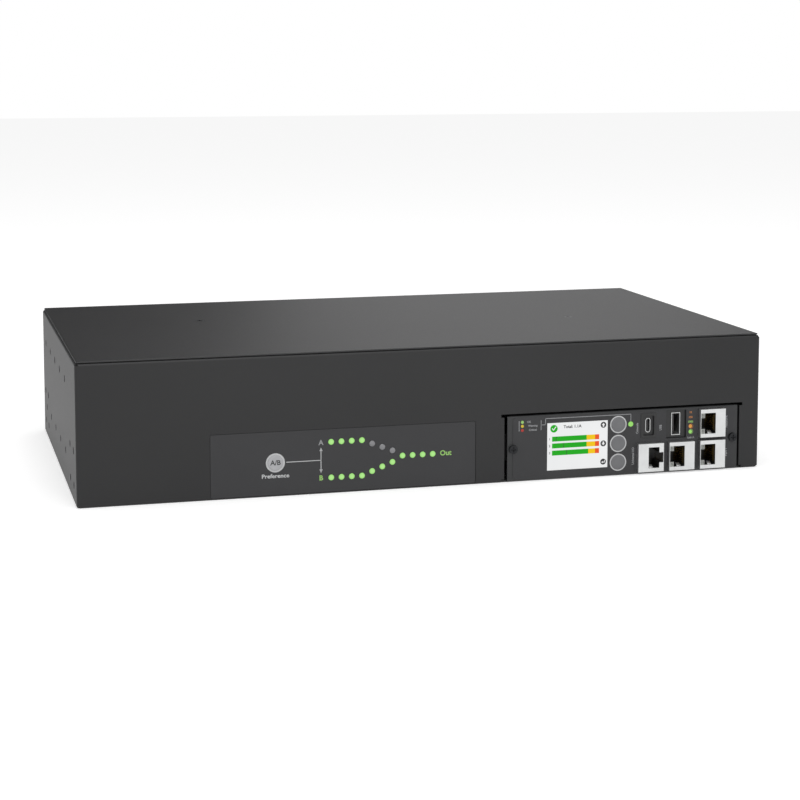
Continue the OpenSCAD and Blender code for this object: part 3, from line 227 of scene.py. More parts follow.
@dataclass(frozen=True)
class Banded(Finish):
    """A surface made of rows that lie side by side, such as turns of wire or stacked sheets, with painted
    shade in the grooves between rows.

    Attributes:
        pitch: Width of one row, mm.
        across: Axis that the rows are counted along.
        painted_groove_shade: Painted shade down in the grooves between rows, sRGB hex.
    """

    pitch: float = 1.0
    across: str = "X"
    painted_groove_shade: str = "#101010"

    def pattern(self, tree: bpy.types.NodeTree, space: bpy.types.NodeSocket) -> bpy.types.NodeSocket:
        """Returns rounded rows, 1 on a row's crown and 0 down between rows."""
        turns_per_mm = math.pi / 10 / self.pitch
        return add_node(tree, "TexWave", {"Vector": space, "Scale": turns_per_mm, "Distortion": 0.15,
                                          "Detail": 1.0, "Detail Scale": 1.0},
                        bands_direction=self.across, wave_profile="SIN").outputs[1]

    def hue(self, tree: bpy.types.NodeTree, space: bpy.types.NodeSocket,
            pattern: bpy.types.NodeSocket) -> bpy.types.NodeSocket:
        """Returns the row's colour with painted shade down in the grooves."""
        crown = super().hue(tree, space, pattern)
        # Painted shade: the colour falls to the shade colour towards the bottom of each groove
        depth = add_node(tree, "MapRange", {"Value": pattern, "From Max": 0.45}).outputs[0]
        return add_node(tree, "Mix", {0: depth, 6: linear(self.painted_groove_shade), 7: crown},
                        data_type="RGBA").outputs[2]


@dataclass(frozen=True)
class SolderResist(Finish):
    """Green solder resist over copper: tracks stand up a little and show paler through it.

    Attributes:
        track: Colour over a track, sRGB hex.
        run: Length between two vias on a track, mm.
        rows: Spacing of the tracks, mm.
        upright: True for a board that stands on edge, facing the front.
    """

    track: str = "#3d8a55"
    run: float = 17.0
    rows: float = 2.4
    upright: bool = False

    def pattern(self, tree: bpy.types.NodeTree, space: bpy.types.NodeSocket) -> bpy.types.NodeSocket:
        """Returns 1 on a track and 0 between tracks."""
        turn = (math.pi / 2 if self.upright else 0.0, 0.0, 0.0)
        flat = add_node(tree, "Mapping", {"Vector": space, "Rotation": turn}).outputs[0]
        return add_node(tree, "TexBrick", {"Vector": flat, "Scale": 1.0, "Mortar Size": 0.28,
                                           "Mortar Smooth": 0.2, "Brick Width": self.run,
                                           "Row Height": self.rows}).outputs[1]

    def hue(self, tree: bpy.types.NodeTree, space: bpy.types.NodeSocket,
            pattern: bpy.types.NodeSocket) -> bpy.types.NodeSocket:
        """Returns the resist's green, paler over the tracks."""
        ground = super().hue(tree, space, pattern)
        return add_node(tree, "Mix", {0: pattern, 6: ground, 7: linear(self.track)},
                        data_type="RGBA").outputs[2]


@dataclass(frozen=True)
class Lit(Finish):
    """A surface that glows, a little unevenly, under its own gloss.

    Attributes:
        glow: Colour of the light, sRGB hex.
        edge: Colour that the glow falls to in its dim parts, sRGB hex.
        power: Strength of the light; 1 shows its colour as written.
        spread: Attribute that says where the glow is full, or "" for soft patches.
    """

    glow: str = "#ffffff"
    edge: str = "#d0d0d0"
    power: float = 1.0
    spread: str = ""

    def dress(self, tree: bpy.types.NodeTree, shader: bpy.types.Node, space: bpy.types.NodeSocket) -> None:
        """Adds the light to what a plain finish has."""
        super().dress(tree, shader, space)
        if self.spread:
            full = add_node(tree, "Attribute", attribute_name=self.spread).outputs["Fac"]
        else:
            full = self.noise(tree, space, self.patch)
        light = add_node(tree, "Mix", {0: full, 6: linear(self.edge), 7: linear(self.glow)},
                         data_type="RGBA")
        tree.links.new(light.outputs[2], shader.inputs["Emission Color"])
        shader.inputs["Emission Strength"].default_value = self.power


# Satin black powder coat on folded steel: near black, a soft sheen at low angles, fine orange peel.
# Real peel is about 0.5 mm across; it is drawn at 1.1 mm so that it shows.
SATIN_COAT = PowderCoat("satin_black_powder_coat", "#1b1b1c", "#1f1f20", 0.5, 1.1, 0.03, 90.0, ior=1.45)
COVER_COAT = PowderCoat("satin_black_cover_coat", "#1c1c1d", "#202021", 0.5, 1.1, 0.03, 120.0, ior=1.45)
# Smooth baked paint on the module's sheet: one step greyer than the powder coat
MODULE_PAINT = PowderCoat("dark_grey_stove_enamel", "#272829", "#2b2c2d", 0.48, 0.8, 0.015, 40.0)
# Back-printed polyester film with a velvet face: dark grey, flat, no orange peel
VELVET_FILM = Finish("velvet_polyester_film", "#29292b", "#2c2c2e", 0.55, 0.35, 0.004, 30.0)
# Screen-printed ink: light grey and dead matt, with slightly uneven cover
PALE_INK = Finish("pale_grey_screen_ink", "#d3d4d5", "#c9cacb", 0.6, 0.4, 0.002, 3.0)
DIM_INK = Finish("mid_grey_screen_ink", "#a3a4a6", "#999a9c", 0.6, 0.4, 0.002, 3.0)
GREEN_INK = Finish("leaf_green_screen_ink", "#a9dc7c", "#9dd06e", 0.6, 0.4, 0.002, 3.0)
YELLOW_INK = Finish("yellow_screen_ink", "#e8cf3c", "#d8be2e", 0.6, 0.4, 0.002, 3.0)
RED_INK = Finish("red_screen_ink", "#c23b34", "#ae322c", 0.6, 0.4, 0.002, 3.0)
ORANGE_INK = Finish("orange_screen_ink", "#d68a4c", "#c67c40", 0.6, 0.4, 0.002, 3.0)
BLACK_INK = Finish("black_pad_ink", "#2b2b2d", "#323234", 0.55, 0.4, 0.002, 3.0)
# Injection-moulded ABS, fine spark texture: matt, even, a little translucent-looking grey
BUTTON_LIGHT = Finish("light_grey_abs", "#b6b6b9", "#bcbcbf", 0.5, 0.25, 0.006, 6.0, ior=1.53)
BUTTON_GREY = Finish("mid_grey_abs", "#717174", "#767779", 0.5, 0.25, 0.006, 6.0, ior=1.53)
# Glass-filled nylon of sockets and inserts: black with a faint spark texture
BLACK_NYLON = Finish("black_glass_filled_nylon", "#141415", "#1a1a1b", 0.45, 0.4, 0.01, 12.0, ior=1.53)
OUTLET_NYLON = Finish("black_outlet_nylon", "#18181a", "#1e1e20", 0.42, 0.5, 0.012, 14.0, ior=1.53)
# Polished polycarbonate rocker: smooth black with clear reflections
GLOSSY_ROCKER = Finish("polished_black_polycarbonate", "#131314", "#171718", 0.18, 0.6, 0.001, 8.0, ior=1.58)
# Bright zinc plate: pale blue-grey metal with a soft spangle
BRIGHT_ZINC = Finish("bright_zinc_plate", "#b9bcc0", "#a4a8ad", 0.34, 2.2, 0.004, 9.0, 0.07, 1.0)
# Tinned sheet of the jack shields: whiter than zinc, rolled along its length
TINNED_SHEET = Finish("tinned_steel_sheet", "#d6d7d7", "#cccdcd", 0.4, 0.5, 0.003, 8.0, 0.06, 1.0,
                      lay=Grain.ALONG_X)
BLACK_OXIDE = Finish("black_oxide_steel", "#26272a", "#1f2022", 0.4, 0.4, 0.004, 3.0, 0.08, 0.6)
TURNED_BRASS = Finish("turned_brass", "#c6a35c", "#b8944d", 0.28, 0.3, 0.004, 5.0, 0.06, 1.0,
                      lay=Grain.ALONG_X)
GOLD_FLASH = Finish("gold_flash_on_bronze", "#e2bd62", "#d8b056", 0.22, 0.4, 0.002, 2.0, 0.05, 1.0)
ROLLED_COPPER = Finish("rolled_copper_strip", "#c27b58", "#a9654a", 0.32, 0.6, 0.003, 12.0, 0.08, 1.0,
                       lay=Grain.ALONG_X)
RAW_ALUMINIUM = Finish("mill_finish_aluminium", "#bfc1c4", "#b2b4b8", 0.35, 0.5, 0.006, 10.0, 0.07, 1.0,
                       lay=Grain.ALONG_Z)
# Solder resist over glass laminate: deep green, glossy, tracks faintly raised
BOARD_FLAT = SolderResist("solder_resist_flat", "#17502f", "#1b5835", 0.28, 1.0, 0.03, 20.0)
BOARD_UPRIGHT = SolderResist("solder_resist_upright", "#17502f", "#1b5835", 0.28, 1.0, 0.03, 20.0,
                             upright=True)
RELAY_CASE = Finish("cream_pbt_relay_case", "#cfc8b2", "#c6bea7", 0.45, 0.5, 0.01, 10.0, ior=1.55)
TERMINAL_CASE = Finish("green_polyamide_terminal", "#2f7a50", "#2a6f48", 0.42, 0.5, 0.01, 8.0, ior=1.53)
CHIP_EPOXY = Finish("moulded_epoxy_package", "#1d1d1f", "#232325", 0.6, 0.3, 0.006, 6.0)
CAN_SLEEVE = Finish("shrunk_polyester_sleeve", "#1f2c4a", "#24335a", 0.25, 3.0, 0.02, 8.0, coat=0.4)
DIPPED_CORE = Finish("dipped_epoxy_coat", "#c08a2c", "#a97722", 0.35, 1.2, 0.05, 5.0)
# Stacked transformer laminations, 0.5 mm each, drawn at 1 mm so that the edges show; the joints between
# sheets get painted shade
LAMINATIONS = Banded("varnished_laminations", "#5b5e62", "#4c4e52", 0.42, 1.0, 0.15, 8.0, 0.08, 0.7,
                     pitch=1.0, across="Y", painted_groove_shade="#1d1e20")
# Enamelled magnet wire, 0.8 mm over the enamel, with painted shade between the turns
MAGNET_WIRE = Banded("enamelled_magnet_wire", "#a8562c", "#8e4522", 0.3, 0.8, 0.25, 6.0, 0.05,
                     pitch=0.8, across="Z", painted_groove_shade="#3a180c", coat=0.5)
# Grey ribbon cable: 1.27 mm between conductors, with painted shade in the furrows between them
RIBBON = Banded("ribbed_pvc_ribbon", "#8f9296", "#84878b", 0.45, 1.27, 0.3, 20.0, 0.04,
                pitch=1.27, across="X", painted_groove_shade="#5d6064", ior=1.53)
LEAD_BROWN = Finish("brown_pvc_lead", "#6a4028", "#5f3822", 0.4, 1.5, 0.02, 15.0, ior=1.53)
LEAD_BLUE = Finish("blue_pvc_lead", "#2f5f9a", "#29548a", 0.4, 1.5, 0.02, 15.0, ior=1.53)
# Clear polycarbonate light pipes over lit diodes: full in the middle, deeper towards the rim
LIT_GREEN = Lit("lit_green_light_pipe", "#4d7a34", "#456e2f", 0.3, 0.4, 0.002, 3.0,
                glow="#9fe06f", edge="#86c95a", power=0.8)
LIT_GREEN_LENS = Lit("lit_green_lens", "#4d7a34", "#456e2f", 0.25, 0.4, 0.002, 3.0,
                     glow="#afe58c", edge="#8cc86a", power=0.85, spread="heart")
LIT_AMBER = Lit("lit_amber_light_pipe", "#8a5a22", "#7c4f1c", 0.3, 0.4, 0.002, 3.0,
                glow="#d8963c", edge="#c07f2c", power=0.8)
DARK_LENS = Finish("unlit_light_pipe", "#848487", "#8b8b8e", 0.3, 0.5, 0.003, 3.0, ior=1.58)
CLEAR_PIPE = Finish("clear_polycarbonate_pipe", "#c9ccc6", "#bfc2bc", 0.2, 0.5, 0.002, 3.0, ior=1.58)
# Backlit liquid crystal panel: cool white, with faint rows of cells (0.25 mm, drawn at 0.5 mm)
DISPLAY_WHITE = Lit("backlit_display_white", "#3a3b3c", "#404142", 0.2, 0.5, 0.001, 25.0,
                    glow="#f2f3f3", edge="#e9eaeb", power=0.9)
DISPLAY_GREEN = Lit("backlit_display_green", "#1c3a16", "#20401a", 0.35, 0.5, 0.001, 20.0, ior=1.2,
                    glow="#14ac18", edge="#0f9c12", power=0.95)
DISPLAY_YELLOW = Lit("backlit_display_yellow", "#3a3414", "#403a18", 0.35, 0.5, 0.001, 20.0, ior=1.2,
                     glow="#f6c913", edge="#ecbd0c", power=0.95)
DISPLAY_ORANGE = Lit("backlit_display_orange", "#3a1c10", "#402014", 0.35, 0.5, 0.001, 20.0, ior=1.2,
                     glow="#ee5a24", edge="#e2501c", power=0.95)
DISPLAY_BLACK = Finish("display_black_pixels", "#202022", "#28282a", 0.25, 0.5, 0.001, 10.0)
DISPLAY_GREY = Finish("display_grey_pixels", "#6a6b6d", "#727375", 0.25, 0.5, 0.001, 10.0)
# Matt black card of the studio, off which almost nothing comes back
STUDIO_CARD = Finish("black_studio_card", "#0c0c0c", "#101010", 0.9, 5.0, 0.1)


# ---------------------------------------------------------------- making pieces


def add_piece(shape: bmesh.types.BMesh, name: str, finish: Finish,
              body: Body = Body.UNIT) -> bpy.types.Object:
    """Turns a finished shape into a piece of the unit.

    Args:
        shape: The shape, in the row frame; it is freed here.
        name: The piece's name.
        finish: What it is made of.
        body: The CAD body that it rides on.

    Returns:
        The new object, with its place in its mesh.
    """
    mesh = bpy.data.meshes.new(name)
    for face in shape.faces:
        face.smooth = True
    shape.to_mesh(mesh)
    shape.free()
    mesh.set_sharp_from_angle(angle=math.radians(35))
    mesh.materials.append(finish.material())
    made = bpy.data.objects.new(name, mesh)
    bpy.context.scene.collection.objects.link(made)
    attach(made, body.value)
    log.info("%s: %d faces, %s", name, len(mesh.polygons), finish.name)
    return made


def dress(finish: Finish, *nodes: str) -> None:
    """Gives CAD nodes a finish through their material slots."""
    for node in nodes:
        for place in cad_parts[node].material_slots:
            place.material = finish.material()
        log.info("%s: dressed in %s", node, finish.name)


def middle(node: str) -> Vector:
    """Returns the middle of a CAD node's box."""
    low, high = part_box(node)
    return (low + high) / 2


def islands(node: str) -> list[tuple[Vector, Vector]]:
    """Returns the box of each separate solid in a CAD node, from left to right."""
    shape = bmesh.new()
    shape.from_mesh(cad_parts[node].data)
    bmesh.ops.remove_doubles(shape, verts=shape.verts, dist=1e-6)
    left, boxes = set(shape.verts), []
    while left:
        group, queue = [], [next(iter(left))]
        while queue:
            vert = queue.pop()
            if vert in left:
                left.discard(vert)
                group.append(vert.co.copy())
                queue.extend(edge.other_vert(vert) for edge in vert.link_edges)
        boxes.append((Vector(min(c[i] for c in group) for i in range(3)),
                      Vector(max(c[i] for c in group) for i in range(3))))
    shape.free()
    return sorted(boxes, key=lambda box: (round(box[0].x, 5), box[0].z))


def add_box(shape: bmesh.types.BMesh, low: Vector, high: Vector) -> None:
    """Adds a closed box between two corners."""
    low, high = Vector(low), Vector(high)
    place = Matrix.Translation((low + high) / 2) @ Matrix.Diagonal((*(high - low), 1.0))
    bmesh.ops.create_cube(shape, size=1.0, matrix=place)


@dataclass
class Print:
    """A layer of ink or lit cells on one upright face, drawn in that face's X and Z.

    Attributes:
        face: Y of the face.
        deep: Thickness of the layer.
        rear: True for a face that looks to the rear.
        heavy: How much the letters' strokes are fattened, as a share of their height.
        shape: The closed plates drawn so far.
    """

    face: float
    deep: float = 0.03 * MM
    rear: bool = False
    heavy: float = 0.035
    shape: bmesh.types.BMesh = field(default_factory=bmesh.new)

    @property
    def mid(self) -> float:
        """Y of the middle of the layer."""
        return self.face + (self.deep if self.rear else -self.deep) / 2

    def bar(self, x0: float, z0: float, x1: float, z1: float) -> "Print":
        """Draws an upright rectangle between two corners."""
        half = self.deep / 2
        add_box(self.shape, (min(x0, x1), self.mid - half, min(z0, z1)),
                (max(x0, x1), self.mid + half, max(z0, z1)))
        return self

    def disc(self, at: Point, radius: float, sides: int = 36) -> "Print":
        """Draws a filled circle."""
        place = Matrix.Translation((at[0], self.mid, at[1])) @ Matrix.Rotation(math.pi / 2, 4, "X")
        bmesh.ops.create_cone(self.shape, cap_ends=True, segments=sides, radius1=radius,
                              radius2=radius, depth=self.deep, matrix=place)
        return self

    def ring(self, at: Point, inner: float, outer: float, sides: int = 48) -> "Print":
        """Draws a circle's band by turning its section round the middle."""
        half = self.deep / 2
        section = [self.shape.verts.new((at[0] + r, self.mid + y, at[1]))
                   for r, y in ((inner, -half), (outer, -half), (outer, half), (inner, half))]
        edges = [self.shape.edges.new((section[i], section[i - 1])) for i in range(4)]
        bmesh.ops.spin(self.shape, geom=section + edges, cent=(at[0], 0, at[1]), axis=(0, 1, 0),
                       angle=math.tau, steps=sides, use_merge=True, use_normal_flip=False,
                       use_duplicate=False)
        bmesh.ops.remove_doubles(self.shape, verts=self.shape.verts, dist=1e-7)
        bmesh.ops.recalc_face_normals(self.shape, faces=self.shape.faces)
        return self

    def line(self, points: list[Point], width: float) -> "Print":
        """Draws straight strokes from point to point, square at their ends."""
        for (x0, z0), (x1, z1) in zip(points, points[1:]):
            run = math.hypot(x1 - x0, z1 - z0)
            turn = Matrix.Rotation(-math.atan2(z1 - z0, x1 - x0), 4, "Y")
            place = Matrix.Translation(((x0 + x1) / 2, self.mid, (z0 + z1) / 2)) @ turn
            bmesh.ops.create_cube(self.shape, size=1.0, matrix=place @ Matrix.Diagonal(
                (run + width * 0.9, self.deep, width, 1.0)))
        return self

    def arrowhead(self, tip: Point, turn: float, length: float, width: float) -> "Print":
        """Draws a filled triangle.

        Args:
            tip: Where it points to.
            turn: Direction it points in, radians from +X towards +Z.
            length: From tip to base.
            width: Across the base.

        Returns:
            This print.
        """
        along = Vector((math.cos(turn), 0, math.sin(turn)))
        place = (Matrix.Translation(Vector((tip[0], self.mid, tip[1])) - along * length * 2 / 3)
                 @ Matrix.Rotation(-turn, 4, "Y")
                 @ Matrix.Diagonal((length / 1.5, 1, width / math.sqrt(3), 1))
                 @ Matrix.Rotation(math.pi / 2, 4, "X") @ Matrix.Rotation(-math.pi / 2, 4, "Z"))
        bmesh.ops.create_cone(self.shape, cap_ends=True, segments=3, radius1=1.0, radius2=1.0,
                              depth=self.deep, matrix=place)
        return self

    def word(self, text: str, at: Point, height: float, turn: float = 0.0, wide: float = 1.0) -> "Print":
        """Writes letters, as closed flat solids.

        Args:
            text: What it says.
            at: The middle of the word.
            height: Height of a capital letter.
            turn: How far the line is turned, radians anticlockwise as it is read.
            wide: Stretch along the line.

        Returns:
            This print.
        """
        capital = 0.73
        curve = bpy.data.curves.new("letters", "FONT")
        curve.body, curve.size = text, height / capital
        curve.align_x, curve.align_y = "CENTER", "CENTER"
        curve.extrude, curve.resolution_u = self.deep / 2, 3
        curve.offset = height * self.heavy
        holder = bpy.data.objects.new("letters", curve)
        bpy.context.scene.collection.objects.link(holder)
        bpy.context.view_layer.update()
        settled = holder.evaluated_get(bpy.context.evaluated_depsgraph_get())
        flat = bpy.data.meshes.new_from_object(settled)
        facing = (Matrix.Rotation(math.pi if self.rear else 0.0, 4, "Z")
                  @ Matrix.Rotation(math.pi / 2, 4, "X"))
        flat.transform(Matrix.Translation((at[0], self.mid, at[1])) @ facing
                       @ Matrix.Rotation(turn, 4, "Z") @ Matrix.Diagonal((wide, 1, 1, 1)))
        self.shape.from_mesh(flat)
        bpy.data.objects.remove(holder)
        bpy.data.curves.remove(curve)
        bpy.data.meshes.remove(flat)
        bmesh.ops.remove_doubles(self.shape, verts=self.shape.verts, dist=1e-7)
        return self

    def finish(self, name: str, finish: Finish, slot: Slot = Slot.INK, body: Body = Body.UNIT) -> None:
        """Ends the drawing and makes it one piece."""
        add_piece(self.shape, name, finish, body)


def add_dome(shape: bmesh.types.BMesh, at: Vector, radius: float, rise: float, sides: int = 24) -> None:
    """Adds a shallow lens that bulges towards the front, closed at its back.

    Each vertex notes how near it is to the middle in the attribute "heart".

    Args:
        shape: The shape that gets the lens.
        at: Middle of the lens's back.
        radius: Radius of its rim.
        rise: Height of its crown.
        sides: Facets round the rim.
    """
    heart = shape.verts.layers.float.get("heart") or shape.verts.layers.float.new("heart")
    start = set(shape.verts)
    steps = 5
    arc = [shape.verts.new(at + Vector((radius * math.cos(a), -rise * math.sin(a), 0)))
           for a in (math.pi / 2 * i / steps for i in range(steps + 1))]
    back = shape.verts.new(at)
    chain = [back, *arc]
    edges = [shape.edges.new(pair) for pair in zip(chain, chain[1:])]
    bmesh.ops.spin(shape, geom=chain + edges, cent=at, axis=(0, 1, 0), angle=math.tau, steps=sides,
                   use_merge=True, use_normal_flip=False, use_duplicate=False)
    made = [v for v in shape.verts if v not in start]
    bmesh.ops.remove_doubles(shape, verts=made, dist=1e-7)
    bmesh.ops.recalc_face_normals(shape, faces=shape.faces)
    for vert in shape.verts:
        if vert not in start:
            out = math.hypot(vert.co.x - at.x, vert.co.z - at.z) / radius
            vert[heart] = max(0.0, 1.0 - out ** 2)


# ---------------------------------------------------------------- sub-assemblies


@dataclass
class Enclosure:
    """Folded tray, set-down top cover, rear panel and the fastenings that hold them."""

    def dress(self) -> None:
        """Gives the sheet-metal shell and its screws their finishes."""
        dress(SATIN_COAT, "chassis_tray", "rear_panel")
        dress(COVER_COAT, "top_cover")
        dress(BLACK_OXIDE, "cover_screws", "panel_screws")
        dress(BRIGHT_ZINC, "cover_posts", "board_spacers", "board_screws")
        dress(TURNED_BRASS, "ground_terminal")


@dataclass
class SourceIndicator:
    """Printed film with the preference button and two rows of lamps that join at the output.

    Attributes:
        ring_out: Outer radius of the ring round the button.
        ring_in: Inner radius of that ring.
        stroke: Width of the printed lines.
        arrow_right: Distance of the double arrow right of the button's middle.
        arrow_reach: Half of the arrow's length.
        letter: Height of the letters that name the sources.
        lens_rise: Crown height of a lamp's lens.
        branch: Height of each source's row above or below the button.
        output_x: Middle of the word at the output.
    """

    ring_out: float = 5.8 * MM
    ring_in: float = 4.75 * MM
    stroke: float = 0.45 * MM
    arrow_right: float = 27.9 * MM
    arrow_reach: float = 7.8 * MM
    letter: float = 3.1 * MM
    lens_rise: float = 0.35 * MM
    branch: float = 10.85 * MM
    output_x: float = 7.7 * MM

    def dress(self) -> None:
        """Gives the indicator's own nodes their finishes."""
        dress(VELVET_FILM, "indicator_overlay")
        dress(LIT_GREEN, "source_lights_on")
        dress(DARK_LENS, "source_lights_off")
        dress(BOARD_UPRIGHT, "indicator_board")
        dress(BLACK_NYLON, "preference_switch")
        dress(BUTTON_LIGHT, "preference_button")

    def build(self) -> None:
        """Builds the print, the lenses and the button's letters."""
        self.dress()
        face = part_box("indicator_overlay")[0].y
        button = middle("preference_button")
        x, z = button.x, button.z
        arrow_x = x + self.arrow_right
        Print(face).ring((x, z), self.ring_in, self.ring_out).finish("preference_ring", PALE_INK)
        Print(face).word("Preference", (x, z - 8.1 * MM), 2.5 * MM, wide=1.12).finish(
            "preference_word", PALE_INK)
        lines = Print(face)
        lines.line([(x + self.ring_out + 1.0 * MM, z), (arrow_x, z)], self.stroke)
        lines.line([(arrow_x, z - self.arrow_reach + 1 * MM), (arrow_x, z + self.arrow_reach - 1 * MM)],
                   self.stroke)
        for way in (-1, 1):
            lines.arrowhead((arrow_x, z + way * self.arrow_reach), way * math.pi / 2, 2.2 * MM, 1.9 * MM)
        lines.finish("preference_lines", PALE_INK)
        Print(face).word("A", (arrow_x, z + self.branch - 0.2 * MM), self.letter).finish(
            "source_a_letter", DIM_INK)
        Print(face).word("B", (arrow_x, z - self.branch - 0.1 * MM), self.letter).finish(
            "source_b_letter", GREEN_INK)
        Print(face).word("Out", (self.output_x, z + 0.1 * MM), 3.2 * MM).finish("output_word", GREEN_INK)
        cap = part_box("preference_button")[0].y
        Print(cap).word("A/B", (x, z), 3.0 * MM).finish(
            "preference_button_letters", BLACK_INK, Slot.INK, Body.PREFERENCE)
        for node, finish, slot in (("source_lights_on", LIT_GREEN_LENS, Slot.GREEN),
                                   ("source_lights_off", DARK_LENS, Slot.GREY)):
            shape = bmesh.new()
            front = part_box(node)[0].y
            for low, high in islands(node):
                at = (low + high) / 2
                add_dome(shape, Vector((at.x, front, at.z)), (high.x - low.x) / 2, self.lens_rise)
            add_piece(shape, node.replace("lights", "lenses"), finish)


@dataclass
class ManagementModule:
    """Slide-in module: display, menu buttons, USB sockets and shielded jacks on one faceplate.

    Attributes:
        ring_out: Outer radius of the ring printed round a menu button.
        ring_in: Inner radius of that ring.
        stroke: Width of the printed lines.
        picture: Thickness of a patch of lit cells.
        key_letter: Height of the letters in the key of lamp colours.
        speed_letter: Height of the figures above the link lamps.
        caption_letter: Height of the sockets' names.
        spring: Width, length and thickness of a jack shield's spring.
        spring_tilt: How far a spring leans into its jack, degrees.
        spring_depth: Middle of a spring behind the shield's face.
    """

    ring_out: float = 5.5 * MM
    ring_in: float = 4.75 * MM
    stroke: float = 0.4 * MM
    picture: float = 0.02 * MM
    key_letter: float = 1.25 * MM
    speed_letter: float = 1.3 * MM
    caption_letter: float = 1.5 * MM
    spring: tuple[float, float, float] = (2.6 * MM, 3.2 * MM, 0.25 * MM)
    spring_tilt: float = 32.0
    spring_depth: float = 2.0 * MM

    def dress(self) -> None:
        """Gives the module's own nodes their finishes."""
        dress(MODULE_PAINT, "module_faceplate")
        dress(BRIGHT_ZINC, "module_tray", "display_module")
        dress(VELVET_FILM, "module_overlay")
        dress(BLACK_OXIDE, "module_screws")
        dress(DISPLAY_WHITE, "display_glass")
        dress(BOARD_UPRIGHT, "display_board", "port_risers")
        dress(BLACK_NYLON, "menu_switches", "jack_inserts", "usb_tongues", "port_bezels")
        dress(BUTTON_GREY, "menu_button_up", "menu_button_down", "menu_button_enter")
        dress(LIT_GREEN, "status_light", "link_light_green")
        dress(LIT_AMBER, "link_light_amber")
        dress(TINNED_SHEET, "jack_shields", "usb_shells")
        dress(CLEAR_PIPE, "jack_lamps")
        dress(GOLD_FLASH, "jack_contacts")
        dress(BOARD_FLAT, "module_board")
        dress(CHIP_EPOXY, "module_chips")
        dress(RIBBON, "ribbon_cables")

    def build(self) -> None:
        """Builds everything that is printed, lit or drawn on the module."""
        self.dress()
        self.legend()
        self.buttons()
        self.display()
        self.captions()
        self.sockets()

    def legend(self) -> None:
        """Prints the key of lamp colours and the line that leads to the status lamp."""
        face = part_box("module_overlay")[0].y
        lamp = middle("status_light")
        low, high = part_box("display_glass")
        left = low.x - 18.4 * MM
        rows = [high.z + dz * MM for dz in (1.5, -1.0, -3.6)]
        key = (("OK", 6.4, GREEN_INK), ("Warning", 8.9, YELLOW_INK), ("Critical", 8.9, RED_INK))
        words = Print(face)
        for z, (word, word_in, ink) in zip(rows, key):
            Print(face).disc((left + 2.1 * MM, z), 0.95 * MM, 20).finish(f"legend_dot_{word.lower()}", ink)
            words.word(word, (left + word_in * MM, z), self.key_letter, wide=1.02)
        words.finish("legend_words", DIM_INK)
        lines = Print(face)
        top, base = rows[0] + 0.6 * MM, rows[2] - 0.3 * MM
        lines.line([(left, base), (left, top)], self.stroke)
        right = left + 14.3 * MM
        lines.line([(right, base), (right, top)], self.stroke)
        step, rail = right + 2.9 * MM, high.z + 3.0 * MM
        lines.line([(right, rows[1] + 0.2 * MM), (step, rows[1] + 0.2 * MM), (step, rail),
                    (lamp.x, rail), (lamp.x, lamp.z + 2.1 * MM)], self.stroke)
        lines.finish("legend_lines", DIM_INK)

    def buttons(self) -> None:
        """Prints the rings round the menu buttons."""
        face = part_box("module_overlay")[0].y
        rings = Print(face)
        for node in ("menu_button_up", "menu_button_down", "menu_button_enter"):
            at = middle(node)
            rings.ring((at.x, at.z), self.ring_in, self.ring_out)
        rings.finish("menu_button_rings", PALE_INK)

    def display(self) -> None:
        """Draws the picture on the display: a tick, a total, three bars and the button marks."""
        low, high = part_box("display_glass")
        face, left, top = low.y, low.x + 0.1 * MM, high.z - 0.1 * MM

        def layer() -> Print:
            """Starts a patch of lit cells on the display's face."""
            return Print(face, self.picture)

        def above() -> Print:
            """Starts a patch of lit cells that lies over another."""
            return Print(face - self.picture, self.picture)

        tick = (left + 4.4 * MM, top - 3.6 * MM)
        layer().disc(tick, 2.4 * MM).finish("display_tick_disc", DISPLAY_GREEN, Slot.DISPLAY)
        x, z = tick
        strokes = [(x + dx * MM, z + dz * MM) for dx, dz in ((-1.1, 0.1), (-0.3, -0.9), (1.2, 1.1))]
        above().line(strokes, 0.5 * MM).finish("display_tick", DISPLAY_WHITE, Slot.DISPLAY)
        layer().word("Total: 1.1A", (left + 16.6 * MM, top - 2.8 * MM), 1.9 * MM).finish(
            "display_total", DISPLAY_BLACK, Slot.DISPLAY)
        green, yellow, orange, ticks, digits = layer(), layer(), layer(), above(), layer()
        loads = ((24.0, 26.0, 5.7), (19.7, 26.0, 10.7), (15.2, 27.1, 12.7))
        for i, (base, split, mark) in enumerate(loads):
            z0, z1 = base * MM, (base + 3.1) * MM
            edges = [left + d * MM for d in (3.2, split, 31.6, 34.3)]
            green.bar(edges[0], z0, edges[1], z1)
            yellow.bar(edges[1], z0, edges[2], z1)
            orange.bar(edges[2], z0, edges[3], z1)
            ticks.bar(left + mark * MM, z0, left + (mark + 0.3) * MM, z1)
            digits.word(str(i + 1), (left + 1.6 * MM, (z0 + z1) / 2), 1.5 * MM)
        green.finish("display_bars_green", DISPLAY_GREEN, Slot.DISPLAY)
        yellow.finish("display_bars_yellow", DISPLAY_YELLOW, Slot.DISPLAY)
        orange.finish("display_bars_orange", DISPLAY_ORANGE, Slot.DISPLAY)
        ticks.finish("display_bar_marks", DISPLAY_BLACK, Slot.DISPLAY)
        digits.finish("display_digits", DISPLAY_GREY, Slot.DISPLAY)
        marks, symbols = layer(), above()
        for z, kind in ((32.9 * MM, "up"), (21.1 * MM, "down"), (9.5 * MM, "enter")):
            at = (left + 37.1 * MM, z)
            marks.disc(at, 1.9 * MM)
            if kind == "enter":
                symbols.line([(at[0] + 0.9 * MM, z + 0.8 * MM), (at[0] + 0.9 * MM, z - 0.3 * MM),
                              (at[0] - 0.2 * MM, z - 0.3 * MM)], 0.4 * MM)
                symbols.arrowhead((at[0] - 1.3 * MM, z - 0.3 * MM), math.pi, 1.2 * MM, 1.4 * MM)
            else:
                way = 1 if kind == "up" else -1
